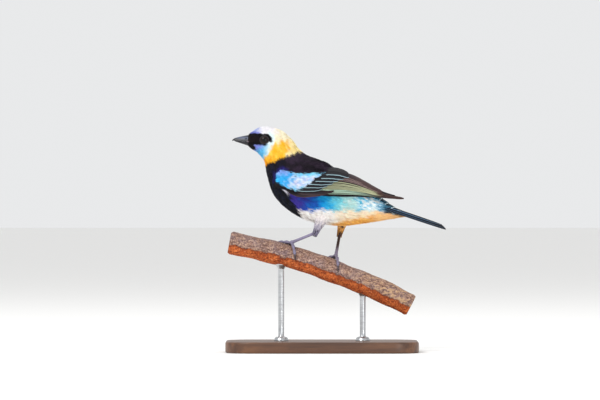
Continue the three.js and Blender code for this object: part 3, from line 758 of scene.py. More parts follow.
wing = {
    "wristX": -24.3, "wristZ": 91.8, "slope": -8 * degree, "length": 69.0, "roundness": 14.0,
    "blade": 0.93,  # how much of the wing's length and height its blade takes up
    "thickness": 0.2,  # of a vane along its middle
    "rachis": 0.1,  # how far the shaft stands up
    "tilt": 0.42,  # how far a vane's edges rise and sink, so that it lies over its neighbour
    "sunk": 0.5,  # how deep the roots lie
    "skin": "#1A1518",
    "bare": {"from": 3.0, "to": 44.0, "inside": 2.2, "out": 6.0},  # where the body under it has no feathers
}
wingAt = smoothRows([
    # out, roof, top, low, depth
    (12.4, 0.12, 4.6, -2.6, 3.2),
    (15.2, 0.18, 7.6, -5.2, 4.0),
    (15.7, 0.3, 8.8, -4.6, 3.6),
    (13.4, 0.5, 10.0, -3.2, 2.8),
    (8.8, 0.66, 7.8, -1.6, 1.4),
    (5.5, 0.6, 3.4, -0.4, 0.8),
    (3.4, 0.5, 1.4, 0.5, 0.5),
])


def wingSizes(a):
    return np.moveaxis(wingAt(np.clip(np.asarray(a, float) / wing["length"], 0, 1)), -1, 0)


def heightOnWing(a, height):
    top, low = wingSizes(a)[2:4]
    return low + (top - low) * height


def wingSheet(side, a, b):
    out, roof = wingSizes(a)[:2]
    return np.stack([
        wing["wristX"] + a * math.cos(wing["slope"]) - b * math.sin(wing["slope"]),
        side * (out - roof * b - b * b / (2 * wing["roundness"])),
        wing["wristZ"] + a * math.sin(wing["slope"]) + b * math.cos(wing["slope"]),
    ], -1)


# A point d mm outwards from the folded wing's sheet, a along it and b up it.
def wingPoint(side, a, b, d):
    a, b, d = np.broadcast_arrays(np.asarray(a, float), b, d)
    spot = wingSheet(side, a, b)
    outward = np.cross(wingSheet(side, a + 0.1, b) - spot, wingSheet(side, a, b + 0.1) - spot)
    outward /= np.linalg.norm(outward, axis=-1, keepdims=True)
    outward *= np.where(outward[..., 1:2] * side < 0, -1, 1)
    return spot + outward * d[..., None]


# The blade that the feathers grow from; angle 0 is its upper edge and a quarter turn its outer face.
def bladePoint(side, t, angle):
    reach = wing["length"] * wing["blade"]
    a = -1 + (reach + 1) * np.asarray(t, float)
    top, low, depth = wingSizes(a)[2:]
    start = np.minimum(1, 0.35 + t * 9) * wing["blade"]
    b = (top + low) / 2 + np.cos(angle) * start * (top - low) / 2
    return wingPoint(side, a, b, -depth / 2 + np.sin(angle) * start * depth / 2 - 0.15)


# Each row from its first feather (uppermost) to its last; edge is the pale rim of the outer web.
wingRows = {
    "primaries": {
        "count": 8, "root": (20, 14), "tip": (56, 69), "height": (0.44, 0.2), "width": (3.4, 2.5),
        "lift": -0.1, "rim": 0.18, "fade": (0.35, 0.8),
        "core": "#2A1F22", "edge": "#A9C6AE", "end": "#3A2420",
    },
    "secondaries": {
        "count": 6, "root": (18, 16), "tip": (56, 58), "height": (0.7, 0.42), "width": (4.2, 3.9),
        "lift": 0.05, "rim": 0.13, "fade": (0.86, 1.0),
        "core": "#2A2022", "edge": "#B7BC94", "end": "#46322C",
    },
    "tertials": {
        "count": 4, "root": (14, 20), "tip": (48, 57), "height": (0.93, 0.75), "width": (3.4, 3.4),
        "lift": 0.2, "rim": 0.1, "fade": (0.86, 1.0),
        "core": "#2C1F24", "edge": "#B0958F", "end": "#46302E",
    },
    "primaryCoverts": {
        "count": 5, "root": (10, 7), "tip": (31, 24), "height": (0.12, 0.0), "width": (2.4, 2.0),
        "lift": 0.3, "rim": 0.16, "fade": (0.4, 1.0),
        "core": "#241A20", "edge": "#543E42", "end": "#2C1E20",
    },
    "greaterCoverts": {
        "count": 6, "root": (18, 5), "tip": (38, 24.5), "height": (0.99, 0.3), "width": (4.6, 3.4),
        "lift": 0.55, "rim": 0.105, "fade": (0.99, 1.1),
        "core": "#100C13", "edge": "#C4EAF6", "end": "#100C13",
    },
}
vaneAcross = np.array([-1.0, -0.9, -0.74, -0.5, -0.22, -0.05, 0.0, 0.05, 0.25, 0.6, 1.0])


def vaneWidth(t):
    return np.minimum(0.55 + t * 2.2, 1) * (0.3 + 0.7 * np.sqrt(np.maximum(0, 1 - t ** 6)))


# A thin closed vane: place(t, across, off) gives its points, off being half its thickness to either face.
def vaneMesh(place, tintAt, length, halfWidth, cell, cells, rows=26):
    t, w = np.meshgrid(np.linspace(0, 1, rows), vaneAcross, indexing="ij")
    thin = wing["thickness"] * (0.35 + 0.65 * (1 - w ** 2)) / 2
    ridge = wing["rachis"] * np.exp(-(w / 0.06) ** 2) * (1 - 0.7 * t)
    columns = len(vaneAcross)
    count = rows * columns
    flat = gridFaces(rows, columns, closed=False)
    index = np.arange(count).reshape(rows, columns)
    loop = np.concatenate([index[0], index[1:, -1], index[-1, -2::-1], index[-2:0:-1, 0]])
    after = np.roll(loop, -1)
    rim = np.stack([loop, after, after + count, loop + count], -1)
    points = np.concatenate([place(t, w, thin + ridge).reshape(-1, 3), place(t, w, -thin).reshape(-1, 3)])
    faces = np.vstack([flat, flat[:, ::-1] + count, rim])
    triangles = halved(faces)
    if turnedIn(points - points.mean(0), triangles):
        triangles = triangles[:, ::-1]
    tint = tintAt(t, w).reshape(-1, 3)
    side = math.ceil(math.sqrt(cells))
    corner = np.array([cell % side, cell // side]) / side
    bake = np.stack([(w + 1) / 2 * 0.46 + 0.02, t * 0.94 + 0.02], -1).reshape(-1, 2)
    bake = np.vstack([bake, bake + [0.5, 0]]) / side * 0.98 + corner
    vane = np.stack([w * halfWidth, t * length], -1).reshape(-1, 2)
    # the lower face takes the tint painted a fifth darker, as shade
    return points, triangles, np.vstack([tint, tint * 0.8]), bake, np.vstack([vane, vane])


def wingFeather(side, row, index, cell, cells):
    share = index / (row["count"] - 1)
    spans = [row[k] for k in ("root", "tip", "height", "width")]
    root, tip, height, width = (a + (b - a) * share for a, b in spans)
    wear = draws.uniform(0, 2 * math.pi, 3)
    drift = draws.normal(0, 0.012)
    shade = draws.normal(1, 0.06)
    core, edge, end = (hexColor(row[k]) for k in ("core", "edge", "end"))

    def place(t, w, off):
        a = root + (tip - root) * t ** 0.85
        ragged = 1 + 0.035 * np.sin(t * 17 + wear[0]) * t + 0.02 * np.sin(t * 41 + wear[1]) * t
        half = width / 2 * vaneWidth(t) * ragged
        b = heightOnWing(a, height + drift + (0.5 - height) * 0.25 * t ** 3) + w * half
        lift = -wing["sunk"] + (row["lift"] + wing["sunk"]) * np.minimum(1, t * 2.5)
        return wingPoint(side, a, b, lift - w * wing["tilt"] * vaneWidth(t) + 0.1 * (1 - w ** 2) + off)

    def tintAt(t, w):
        rim, (fadeFrom, fadeTo) = row["rim"], row["fade"]
        pale = smooth(-1 + rim * 1.15, -1 + rim * 0.55, w) * smooth(fadeTo, fadeFrom, t)
        tint = blend(core, end, smooth(0.6, 1, t))
        tint = blend(tint * shade, edge, pale)
        return blend(tint, core * 0.7, np.exp(-(w / 0.07) ** 2) * 0.6)

    return vaneMesh(place, tintAt, tip - root, width / 2, cell, cells)


shoulder = {
    # upper and lower edge of the turquoise patch, from the front
    "top": ((-25.0, 95.6), (-23.8, 97.4), (-21.4, 98.7), (-15.0, 96.5), (-8.0, 96.0), (3.0, 97.0)),
    "low": ((-25.0, 93.8), (-24.0, 92.2), (-21.6, 90.0), (-19.4, 88.8), (-15.1, 87.8), (-6.0, 86.0)),
    "lavender": "#94ACF0", "turquoise": "#35AEEC", "white": "#EEF2FA", "lilac": "#D6D4F0", "cyan": "#62CCF2",
    "black": "#100C12", "rim": "#2A2470",
    "spur": ((-21.0, 87.9), (-18.6, 85.7), 0.6),  # a white feather or two below the patch
    "spurWhite": "#E9E7F4",
}


# How far a place in profile lies outside the turquoise patch.
def outsidePatch(x, z):
    topX, topZ = zip(*shoulder["top"])
    lowX, lowZ = zip(*shoulder["low"])
    above = z - np.interp(x, topX, topZ) + 1.5 * np.maximum(0, x - topX[-1])
    return np.maximum.reduce([above, np.interp(x, lowX, lowZ) - z, topX[0] - x])


def spurShare(x, z):
    return smooth(0.25, -0.15, outsideBar(x, z, *shoulder["spur"]))


def shoulderMarkings(points):
    x, z = points[..., 0], points[..., 2]
    wave = ripple(points, 2.4, 51)
    fine = ripple(points, 1.3, 53)
    # towards its rear the turquoise is painted white and lilac, a painted highlight on the glossy patch
    paintedHighlight = smooth(-20.5, -14.0, x + 1.6 * wave - 0.5 * (z - 91)) * (0.8 + 0.3 * wave)
    white = blend(shoulder["white"], shoulder["lilac"], 0.4 + 0.6 * fine)
    tint = blend(shoulder["turquoise"], white, paintedHighlight)
    tint = blend(tint, shoulder["lavender"], smooth(94.0, 96.5, z + 0.5 * wave) * smooth(-15, -20, x) * 0.8)
    tint = blend(tint, shoulder["cyan"], smooth(-17.0, -12.0, x + wave) * smooth(93.8, 95.4, z) * 0.8)
    tint = blend(tint, shoulder["cyan"], smooth(90.0, 87.5, z + 0.5 * wave) * 0.7)
    tint = blend(tint, shoulder["black"], smooth(-0.3, 0.5, outsidePatch(x, z) + 0.4 * wave))
    return blend(tint, shoulder["spurWhite"], spurShare(x, z))


def scapularMarkings(points):
    return blend(shoulder["black"], trunk["mantleGloss"], 0.2 + 0.3 * ripple(points, 5, 52))


lesserCoverts = {
    "reach": 8.5, "slide": 13.5, "length": 3.8, "width": 1.7, "depth": 0.35, "rows": 30, "barbs": 6,
    "sideShare": 0.42,  # distance between neighbours as a share of feather width
    # factors of length and width, and mm that a feather stands off, by distance from the wrist
    "lengths": {0: 0.75, 14: 1.25}, "widths": {0: 0.8, 14: 1.15}, "lifts": {0: 0.35, 6: 0.9, 16: 1.25},
}
scapulars = {
    "from": 4.0, "to": 21.0, "step": 1.1, "length": 7.0, "width": 2.6, "depth": 0.7, "lift": 0.6, "barbs": 8,
    "below": (-2.4, -0.2),  # where the lowest and the highest root lie, from the wing's upper edge
}


def growShoulder(side):
    place = lambda a, b, d: wingPoint(side, a, b, d)
    bakeAt = lambda r: np.column_stack([r[:, 0] / 90 + 0.1, r[:, 1] / 40 + 0.4])
    roots = []
    for share in np.linspace(0, 1, lesserCoverts["rows"]):
        a = -1.0 + lesserCoverts["reach"] * share
        top, low = wingSizes(max(a, 0))[2:4]
        first, last = low + 0.4, low + (top - low) * (1.02 if share < 0.9 else 0.55)
        count = max(4, int((last - first) / (lesserCoverts["width"] * lesserCoverts["sideShare"])))
        b = np.linspace(first, last, count) + draws.normal(0, 0.16, count)
        # upper feathers reach further back
        slide = (b - first) / (top - low) * lesserCoverts["slide"] * share
        roots.append(np.column_stack([a + slide + draws.normal(0, 0.2, count), b]))
    roots = np.vstack(roots)
    sizes = tuftSizes(lesserCoverts, roots)
    sizes[:, 0] *= readAt(lesserCoverts["lengths"], roots[:, 0])
    sizes[:, 1] *= readAt(lesserCoverts["widths"], roots[:, 0])
    lift = readAt(lesserCoverts["lifts"], roots[:, :1])
    count = lesserCoverts["barbs"]
    # dark sets the painted shade at these coverts' roots
    small = growTufts(place, shoulderMarkings, roots, sizes, count, bakeAt, lift=lift, dark=0.7)
    roots = []
    for a in np.arange(scapulars["from"], scapulars["to"], scapulars["step"]):
        top, low = wingSizes(max(a, 0))[2:4]
        b = top + np.linspace(*scapulars["below"], 5) + draws.normal(0, 0.15, 5)
        roots.append(np.column_stack([a + draws.normal(0, 0.3, 5), b]))
    roots = np.vstack(roots)
    sizes = tuftSizes(scapulars, roots)
    count, lift = scapulars["barbs"], scapulars["lift"]
    large = growTufts(place, scapularMarkings, roots, sizes, count, bakeAt, lift=lift)
    return joinMeshes([small, large])


def makeWing(name, side):
    points, faces, t, angle = tube(lambda t, angle: bladePoint(side, t, angle), 60, 36)
    tint = np.tile(hexColor(wing["skin"]), (len(points), 1))
    bake = np.column_stack([t * 0.96 + 0.02, angle / 7 + 0.02])
    vane = np.column_stack([angle * 4, t * 60])
    skin = (points, faces, tint, bake, vane)
    newPiece(f"wing_{name}_skin", "flight_feathers", silkPlumage, *skin, replaces=(f"wing_{name}",))
    cells = sum(row["count"] for row in wingRows.values())
    feathers = []
    for row in wingRows.values():
        for index in range(row["count"]):
            feathers.append(wingFeather(side, row, index, len(feathers), cells))
    newPiece(f"wing_{name}_feathers", "flight_feathers", flightPlumage, *joinMeshes(feathers))
    newPiece(f"wing_{name}_shoulder", "plumage_pale", silkPlumage, *growShoulder(side))


# Tail: twelve feathers closed over one another, and the long coverts above its root

tail = {
    "rootX": 22.2, "rootZ": 82.0, "tipX": 67.0, "tipZ": 66.9, "pairs": 6, "width": 5.4, "spread": (0.9, 2.5),
    "fan": 0.01, "step": 0.26, "droop": 0.16,
    "graded": 2.6,  # mm by which the middle feathers are shorter than the outermost ones
    "edges": (0.9, 0.0, 0.0, 0.6, 0.0, 0.2),  # how bright the blue edge is on each pair, from the middle out
    "core": "#191C25", "edge": "#7397BC", "end": "#1C1719", "shaft": "#0C0D10",
}
tailWay = np.array([tail["tipX"] - tail["rootX"], 0, tail["tipZ"] - tail["rootZ"]])
tailLength = np.linalg.norm(tailWay)
tailWay /= tailLength
coverts = {
    # rows of count, root, reach, spread and width
    "rows": (
        (5, 14.0, 8.5, 1.9, 2.6), (7, 10.5, 7.5, 2.8, 2.6), (7, 7.0, 7.0, 3.6, 2.8), (9, 3.5, 6.5, 4.6, 2.8),
        (9, 0.5, 6.5, 5.0, 2.8),
    ),
    "rise": {2: 5.6, 8: 4.2, 12: 2.9, 17: 1.6, 20: 1.3, 24: 1.0},  # height over the tail by distance
    "round": {8: 0.3, 14: 0.22, 22: 0.07},  # how sharply a row bends down to its sides, by distance
    "core": "#10131A", "inner": "#14384C", "edge": "#5EC4E8", "pale": "#E4F4F8",
}


def tailPoint(along, across, up):
    root = np.array([tail["rootX"], 0, tail["rootZ"]])
    lift = np.array([-tailWay[2], 0, tailWay[0]])
    along, across, up = (np.asarray(v, float)[..., None] for v in np.broadcast_arrays(along, across, up))
    return root + tailWay * along + lift * up + np.array([0, 1, 0]) * across


def tailFeather(side, pair, cell, cells):
    outward = pair / (tail["pairs"] - 1)
    reach = tailLength - tail["graded"] * (1 - outward) ** 1.5
    wear = draws.uniform(0, 2 * math.pi)

    def place(t, w, off):
        along = reach * t
        half = tail["width"] / 2 * vaneWidth(t) * (1 + 0.02 * np.sin(t * 31 + wear) * t)
        first, last = tail["spread"]
        out = (first + (last - first) * outward) * (0.6 + 0.4 * t) + pair * tail["fan"] * along + w * half
        depth = tail["step"] * pair * (1.3 - 0.5 * t) + tail["droop"] * out
        return tailPoint(along, side * out, 1.1 - depth + off)

    def tintAt(t, w):
        tint = blend(tail["core"], tail["end"], smooth(0.5, 1, t))
        tint = blend(tint, tail["edge"], smooth(0.45, 0.8, w) * tail["edges"][pair] * (1 - 0.6 * t ** 3))
        return blend(tint, tail["shaft"], np.exp(-(w / 0.07) ** 2) * 0.7)

    return vaneMesh(place, tintAt, reach, tail["width"] / 2, cell, cells)


def tailCovert(row, index, cell, cells):
    count, root, reach, spread, width = coverts["rows"][row]
    outward = (index - (count - 1) / 2) / ((count - 1) / 2)
    sway = draws.normal(0, 0.15)
    # each feather lies a little under its neighbour nearer the middle
    tucked = 0.14 * abs(index - (count - 1) / 2)

    def place(t, w, off):
        along = root + (reach - 2.5 * abs(outward)) * t
        out = outward * spread + sway * t + w * width / 2 * vaneWidth(t)
        rise = readAt(coverts["rise"], along) - readAt(coverts["round"], along) * out ** 2
        return tailPoint(along, out, rise + 0.25 * t + 0.18 * row - tucked - 0.5 * (1 - t) ** 2 + off)

    def tintAt(t, w):
        rim = np.maximum(smooth(0.8, 0.98, np.abs(w)) * 0.5, smooth(0.88, 0.96, t)) * smooth(0.3, 0.6, t)
        edge = blend(coverts["edge"], coverts["pale"], smooth(0.75, 0.95, t))
        return blend(blend(coverts["core"], coverts["inner"], row * 0.08), edge, rim)

    return vaneMesh(place, tintAt, reach, width / 2, cell, cells, rows=16)


def makeTail():
    cells = 2 * tail["pairs"] + sum(row[0] for row in coverts["rows"])
    feathers = []
    for pair in range(tail["pairs"]):
        for side in sides.values():
            feathers.append(tailFeather(side, pair, len(feathers), cells))
    for row in range(len(coverts["rows"])):
        for index in range(coverts["rows"][row][0]):
            feathers.append(tailCovert(row, index, len(feathers), cells))
    newPiece("tail_feathers", "flight_feathers", flightPlumage, *joinMeshes(feathers), replaces=("tail",))


# Head: eyes, lids and bill

# Wet cornea over a dark brown iris: a mirror-smooth clear coat on a soft dark ground.
def corneaMaterial():
    material, tree, shader, place = newMaterial("wet_dark_eye", {
        "Roughness": 0.3,
        "IOR": 1.376,
        "Specular IOR Level": 0.1,
        "Coat Weight": 0.7,
        "Coat Roughness": 0.02,
        "Coat IOR": 1.33,
    })
    centre = (eye["x"] * mm, 0, eye["z"] * mm)
    away = addNode(tree, "VectorMath", {"operation": "SUBTRACT", 1: centre}, {0: place})
    flat = addNode(tree, "VectorMath", {"operation": "MULTIPLY", 1: (1 / mm, 0, 1 / mm)}, {0: away})
    radius = addNode(tree, "VectorMath", {"operation": "LENGTH"}, {0: flat})
    fibres = addNode(tree, "TexNoise", {"Scale": 2.6, "Detail": 4.0}, {"Vector": flat})
    uneven = addNode(tree, "Math", {"operation": "MULTIPLY_ADD", 1: 0.35}, {
        0: fibres,
        2: radius.outputs["Value"],
    })
    reach = addNode(tree, "Math", {"operation": "MULTIPLY_ADD", 1: 1 / eye["opening"], 2: -0.07}, {
        0: uneven,
    })
    pupil = eye["pupil"] / eye["opening"]
    iris = addNode(tree, "ValToRGB", {"stops": {
        0.0: "#010101", pupil - 0.03: "#020101", pupil + 0.03: "#140906",
        0.78: "#22110C", eye["iris"] / eye["opening"]: "#0E0706", 0.97: "#040202",
    }}, {0: reach})
    tree.links.new(iris.outputs[0], shader.inputs["Base Color"])
    return material


# Bare skin of the lids: fine warts on dark slate skin.
def lidMaterial():
    material, tree, shader, place = newMaterial("bare_lid_skin", {"Roughness": 0.5, "IOR": 1.4})
    warts = addNode(tree, "TexVoronoi", {"Scale": 1 / (0.28 * mm)}, {"Vector": place})
    shades = addNode(tree, "ValToRGB", {"stops": {0.0: "#3E3339", 0.5: "#1D171B", 1.0: "#0B090B"}}, {
        0: warts,
    })
    raised = addNode(tree, "Math", {"operation": "SUBTRACT", 0: 1.0}, {1: warts})
    dress(tree, shader, shades, raised, 0.08)
    return material


def makeEyes():
    cornea = corneaMaterial()
    lidSkin = lidMaterial()
    for name, side in sides.items():
        centre = np.array([eye["x"], side * eye["out"], eye["z"]])
        ball = tube(ballAt(centre, eye["radius"]), 48, 64)
        newPiece(f"eyeball_{name}", "eye", cornea, *ball[:2], replaces=(f"eye_{name}",))
        height = math.sqrt(eye["radius"] ** 2 - eye["opening"] ** 2)

        def lidRing(t, angle):
            turn = t * 2 * math.pi
            across = eye["opening"] * (1.02 + 0.05 * np.cos(2 * turn))
            middle = centre + np.stack([
                np.cos(turn) * across,
                side * (height - 0.1 * np.cos(turn)),
                np.sin(turn) * eye["opening"] * 0.97,
            ], -1)
            outward = np.stack([np.cos(turn), 0 * turn, np.sin(turn)], -1)
            thick = eye["lid"] * (1 + 0.12 * np.sin(turn * 23) + 0.1 * np.sin(turn * 37 + angle))
            lifted = np.array([0, side, 0]) * (np.sin(angle) * thick * 0.8)[..., None]
            return middle + outward * (np.cos(angle) * thick)[..., None] + lifted

        newPiece(f"lid_{name}", "plumage_black", lidSkin, *tube(lidRing, 145, 12, capped=False)[:2])


bill = {
    "baseX": -39.6, "baseZ": 113.6, "length": 8.6, "rise": 1.1,
    "upperHeight": 3.5, "lowerHeight": 2.2, "width": 4.8,
    "root": 2.4,  # mm that it runs back under the feathers of the face
    "hook": 0.5, "nostrilBack": 1.3, "nostrilUp": 1.7, "nostrilLong": 0.4, "nostrilHigh": 0.2,
    # the blue-grey #66708A is a painted highlight along the upper mandible's side
    "horn": "#19181F", "sideHighlight": "#66708A", "tip": "#121116", "nostril": "#0A0A0D", "gape": "#74606A",
}


# Bill horn: smooth polished keratin, blackish, with fine lengthwise growth lines; a blue-grey highlight is
# painted along the upper mandible's side.
def billMaterial():
    return grainMaterial("polished_bill_horn", {
        "Roughness": 0.4,
        "IOR": 1.54,
        "Specular IOR Level": 0.35,
        "Coat Weight": 0.06,
        "Coat Roughness": 0.3,
    }, size=0.7, contrast=0.25, relief=0.03, drawn=(0.18, 1.0, 1.0))


# How deep in the nostril's pit a place in profile lies, from 0 to 1.
def nostril(x, z):
    dx = x - (bill["baseX"] - bill["nostrilBack"])
    dz = z - (bill["baseZ"] + bill["nostrilUp"])
    return np.exp(-(dx / bill["nostrilLong"]) ** 2 - (dz / bill["nostrilHigh"]) ** 2)


def mandible(height, up, length):
    start = -bill["root"] / length

    def place(t, angle):
        t = start + (1 - start) * t
        taper = np.clip(np.sqrt(np.clip(1 - t, 0, 1)) * (1 - 0.15 * np.maximum(t, 0)), 0.015, 1)
        above = np.maximum(0, np.sin(angle))
        rise = above ** 1.08 * height * taper * (1 - 0.12 * t)
        across = np.cos(angle) * (1 - 0.16 * above) * bill["width"] / 2 * taper ** 1.25
        # the cutting edge stands out a little
        lip = 0.1 * np.exp(-(np.sin(angle) / 0.25) ** 2) * smooth(0.9, 0.5, t)
        across = across + np.sign(np.cos(angle)) * lip
        if up > 0:
            hook = bill["hook"] * smooth(0.82, 1.0, t) * (1 - above * 0.6)
        else:
            hook = -0.25 * smooth(0.8, 1, t)
        x = bill["baseX"] - gap - length * t
        z = bill["baseZ"] + up * (0.04 + rise) + bill["rise"] * t * (1 - 0.25 * t * t) - hook
        if up > 0:
            across = across * (1 - 0.3 * nostril(x, z))
        return np.stack([x, across, z], -1)

    points, faces = tube(place, 64, 48)[:2]
    x, z = points[:, 0], points[:, 2]
    # a painted highlight: a blue-grey band along the upper mandible's side
    sideHighlight = smooth(1.2, 0.1, np.abs(z - bill["baseZ"] - 1.9 - 0.08 * (bill["baseX"] - x))) * 0.6 * (up > 0)
    tint = blend(bill["horn"], bill["sideHighlight"], sideHighlight)
    tint = blend(tint, bill["tip"], smooth(-44.5, -48.5, x) * 0.8)
    if up > 0:
        # the nostril's pit is painted near-black, as shade in the hollow
        tint = blend(tint, bill["nostril"], nostril(x, z) * 1.3)
    return points, faces, tint


def makeBill():
    horn = billMaterial()
    halves = {
        "bill_upper": (bill["upperHeight"], 1, bill["length"]),
        "bill_lower": (bill["lowerHeight"], -1, bill["length"] - 0.5),
    }
    for name, sizes in halves.items():
        newPiece(f"{name}_horn", "bill", horn, *mandible(*sizes), replaces=(name,))
    flanges = []
    for side in sides.values():
        line = lineTube([
            (bill["baseX"] - 0.6, side * 2.3, bill["baseZ"] + 0.05),
            (bill["baseX"] + 1.0, side * 3.3, bill["baseZ"] - 0.35),
            (bill["baseX"] + 2.7, side * 4.35, bill["baseZ"] - 1.25),
        ], (0, 0, 1))
        points, faces = tube(lambda t, angle: line(t, angle, 0.3 * (1 - 0.6 * t)), 20, 12)[:2]
        flanges.append((points, faces, np.tile(hexColor(bill["gape"]), (len(points), 1))))
    newPiece("gape_flanges", "bill", horn, *joinMeshes(flanges))


# Branch, feet and stand

perch = {
    "start": (-50.0, 0.0, 59.0), "bend": (0.0, 0.0, 50.0), "end": (48.0, 0.0, 25.0),
    "radius": 6.05, "bump": 0.22,
    "edge": 99,  # degrees from the top where the weathered bark gives way to the peeled underside
    "flake": 0.16, "grain": 0.1,
    "top": "#8F6C5B", "topDark": "#523A32", "topPale": "#C2A28A", "mauve": "#866F70", "tan": "#C49E76",
    "under": "#A4481F", "underBright": "#CE6E36", "underDark": "#642612", "chip": "#E8A878",
    "wood": "#C9A27A", "ring": "#9A6E48", "pith": "#5A3826",
}
branchSteps = np.linspace(0, 1, 800)[:, None]
branchFine = (
    (1 - branchSteps) ** 2 * np.array(perch["start"])
    + 2 * branchSteps * (1 - branchSteps) * np.array(perch["bend"])
    + branchSteps ** 2 * np.array(perch["end"])
)
branchWalk = np.append(0, np.cumsum(np.linalg.norm(np.diff(branchFine, axis=0), axis=1)))
branchLength = branchWalk[-1]


def branchMiddle(along):
    place = np.clip(np.asarray(along, float) + branchLength / 2, 0, branchLength)
    return np.stack([np.interp(place, branchWalk, branchFine[:, k]) for k in range(3)], -1)


# A point that stands off the bark: along in mm from the middle, angle 0 on top and a quarter turn on the
# near side.
def branchPoint(along, angle, off):
    along, angle, off = np.broadcast_arrays(np.asarray(along, float), angle, off)
    inner = np.clip(along, -branchLength / 2 + 0.3, branchLength / 2 - 0.3)
    way = branchMiddle(inner + 0.2) - branchMiddle(inner - 0.2)
    way /= np.linalg.norm(way, axis=-1, keepdims=True)
    up = np.stack([-way[..., 2], 0 * along, way[..., 0]], -1)
    swell = np.sin(along * 0.21 + 1) + np.sin(along * 0.37 + angle * 2) + np.sin(angle * 3 - along * 0.12)
    reach = perch["radius"] + perch["bump"] * swell / 1.5 + off
    sideways = np.array([0, -1, 0]) * np.sin(angle)[..., None]
    return branchMiddle(along) + (up * np.cos(angle)[..., None] + sideways) * reach[..., None]


# Fractal unevenness at each point, of about the given size in mm.
def rough(points, size, octaves, seed):
    moved = Vector((seed, 0, 0))
    return np.array([noise.fractal(Vector(p) / size + moved, 0.9, 2.0, octaves) for p in points])


# Bark: matt, dry and finely cracked, grey-brown and flaking above, peeled to orange-red wood below.
def barkMaterial():
    material, tree, shader, place = newMaterial("dry_flaking_bark", {
        "Roughness": 0.82,
        "IOR": 1.5,
        "Specular IOR Level": 0.3,
    })
    grit = addNode(tree, "TexNoise", {"Scale": 1 / (0.9 * mm), "Detail": 6.0, "Roughness": 0.7}, {
        "Vector": place,
    })
    drawn = addNode(tree, "Mapping", {"Scale": (0.22, 1.0, 1.0), "Rotation": (0, 0.3, 0)}, {"Vector": place})
    cracks = addNode(tree, "TexNoise", {"Scale": 1 / (0.7 * mm), "Detail": 5.0}, {"Vector": drawn})
    mixed = addNode(tree, "Math", {"operation": "MULTIPLY_ADD", 1: 1.4}, {0: grit, 2: cracks})
    sharp = addNode(tree, "Math", {"operation": "MULTIPLY_ADD", 1: 0.9, 2: -0.58}, {0: mixed})
    dress(tree, shader, patternedTint(tree, sharp, 0.45), sharp, 0.25)
    return material


def makePerch():
    def place(t, angle):
        return branchPoint((t - 0.5) * branchLength, angle, 0.0)

    rows, columns = 440, 150
    points, faces, t, angle = tube(place, rows, columns)
    along = (t - 0.5) * branchLength
    away = np.abs((angle + math.pi) % (2 * math.pi) - math.pi) / degree
    coarse = rough(points, 5.0, 4, 3.0)
    fine = rough(points * [0.35, 1, 1], 0.9, 4, 9.0)
    grit = rough(points, 0.6, 3, 15.0)
    edge = away - perch["edge"] + 9 * coarse + 5 * fine
    under = smooth(-1.6, 1.6, edge)
    lump = perch["flake"] * (1 - under) * smooth(-0.3, 0.5, coarse) + perch["grain"] * (fine + 0.7 * grit)
    lump += 0.12 * np.exp(-(edge / 3.0) ** 2)  # the bark's torn lip stands up
    rim = smooth(1.2, 0.0, branchLength / 2 - np.abs(along)) * 0.6
    points[:rows * columns] = branchPoint(along, angle, lump - rim)[:rows * columns]
    top = blend(perch["top"], perch["mauve"], 0.5 + 0.9 * coarse)
    top = blend(top, perch["topPale"], smooth(0.12, 0.55, grit + 0.5 * fine) * 0.75)
    top = blend(top, perch["topDark"], smooth(-0.05, -0.5, grit + 0.6 * fine) * 0.8)
    top = blend(top, perch["tan"], smooth(10, 34, along) * smooth(-0.1, 0.4, fine + 0.5 * coarse) * 0.7)
    low = blend(perch["under"], perch["underBright"], 0.45 + 0.6 * coarse + 0.7 * grit)
    low = blend(low, perch["underDark"], smooth(-0.05, -0.5, grit + 0.4 * fine) * 0.8)
    low = blend(low, perch["chip"], smooth(0.7, 1.0, fine + 0.5 * grit) * 0.8)
    # a painted shadow: the peeled underside is darker in a band just below the bark's torn edge
    low = blend(low, perch["underDark"], smooth(22, 0, edge) * 0.6)
    # a painted shadow line right along the bark's torn edge
    tint = blend(blend(top, low, under), perch["topDark"], np.exp(-(edge / 1.6) ** 2) * 0.55)
    bake = np.column_stack([t * 0.96 + 0.02, angle / (2 * math.pi) * 0.96 + 0.02])
    newPiece("branch_bark", "bark", barkMaterial(), points, faces, tint, bake, replaces=("perch",))
    makeCutEnds()


# Sawn end grain: pale dry wood with growth rings and a dark pith, matt.
def cutWoodMaterial():
    settings = {"Roughness": 0.75, "IOR": 1.5, "Specular IOR Level": 0.25}
    return grainMaterial("sawn_end_grain", settings, size=0.5, contrast=0.25, relief=0.08)


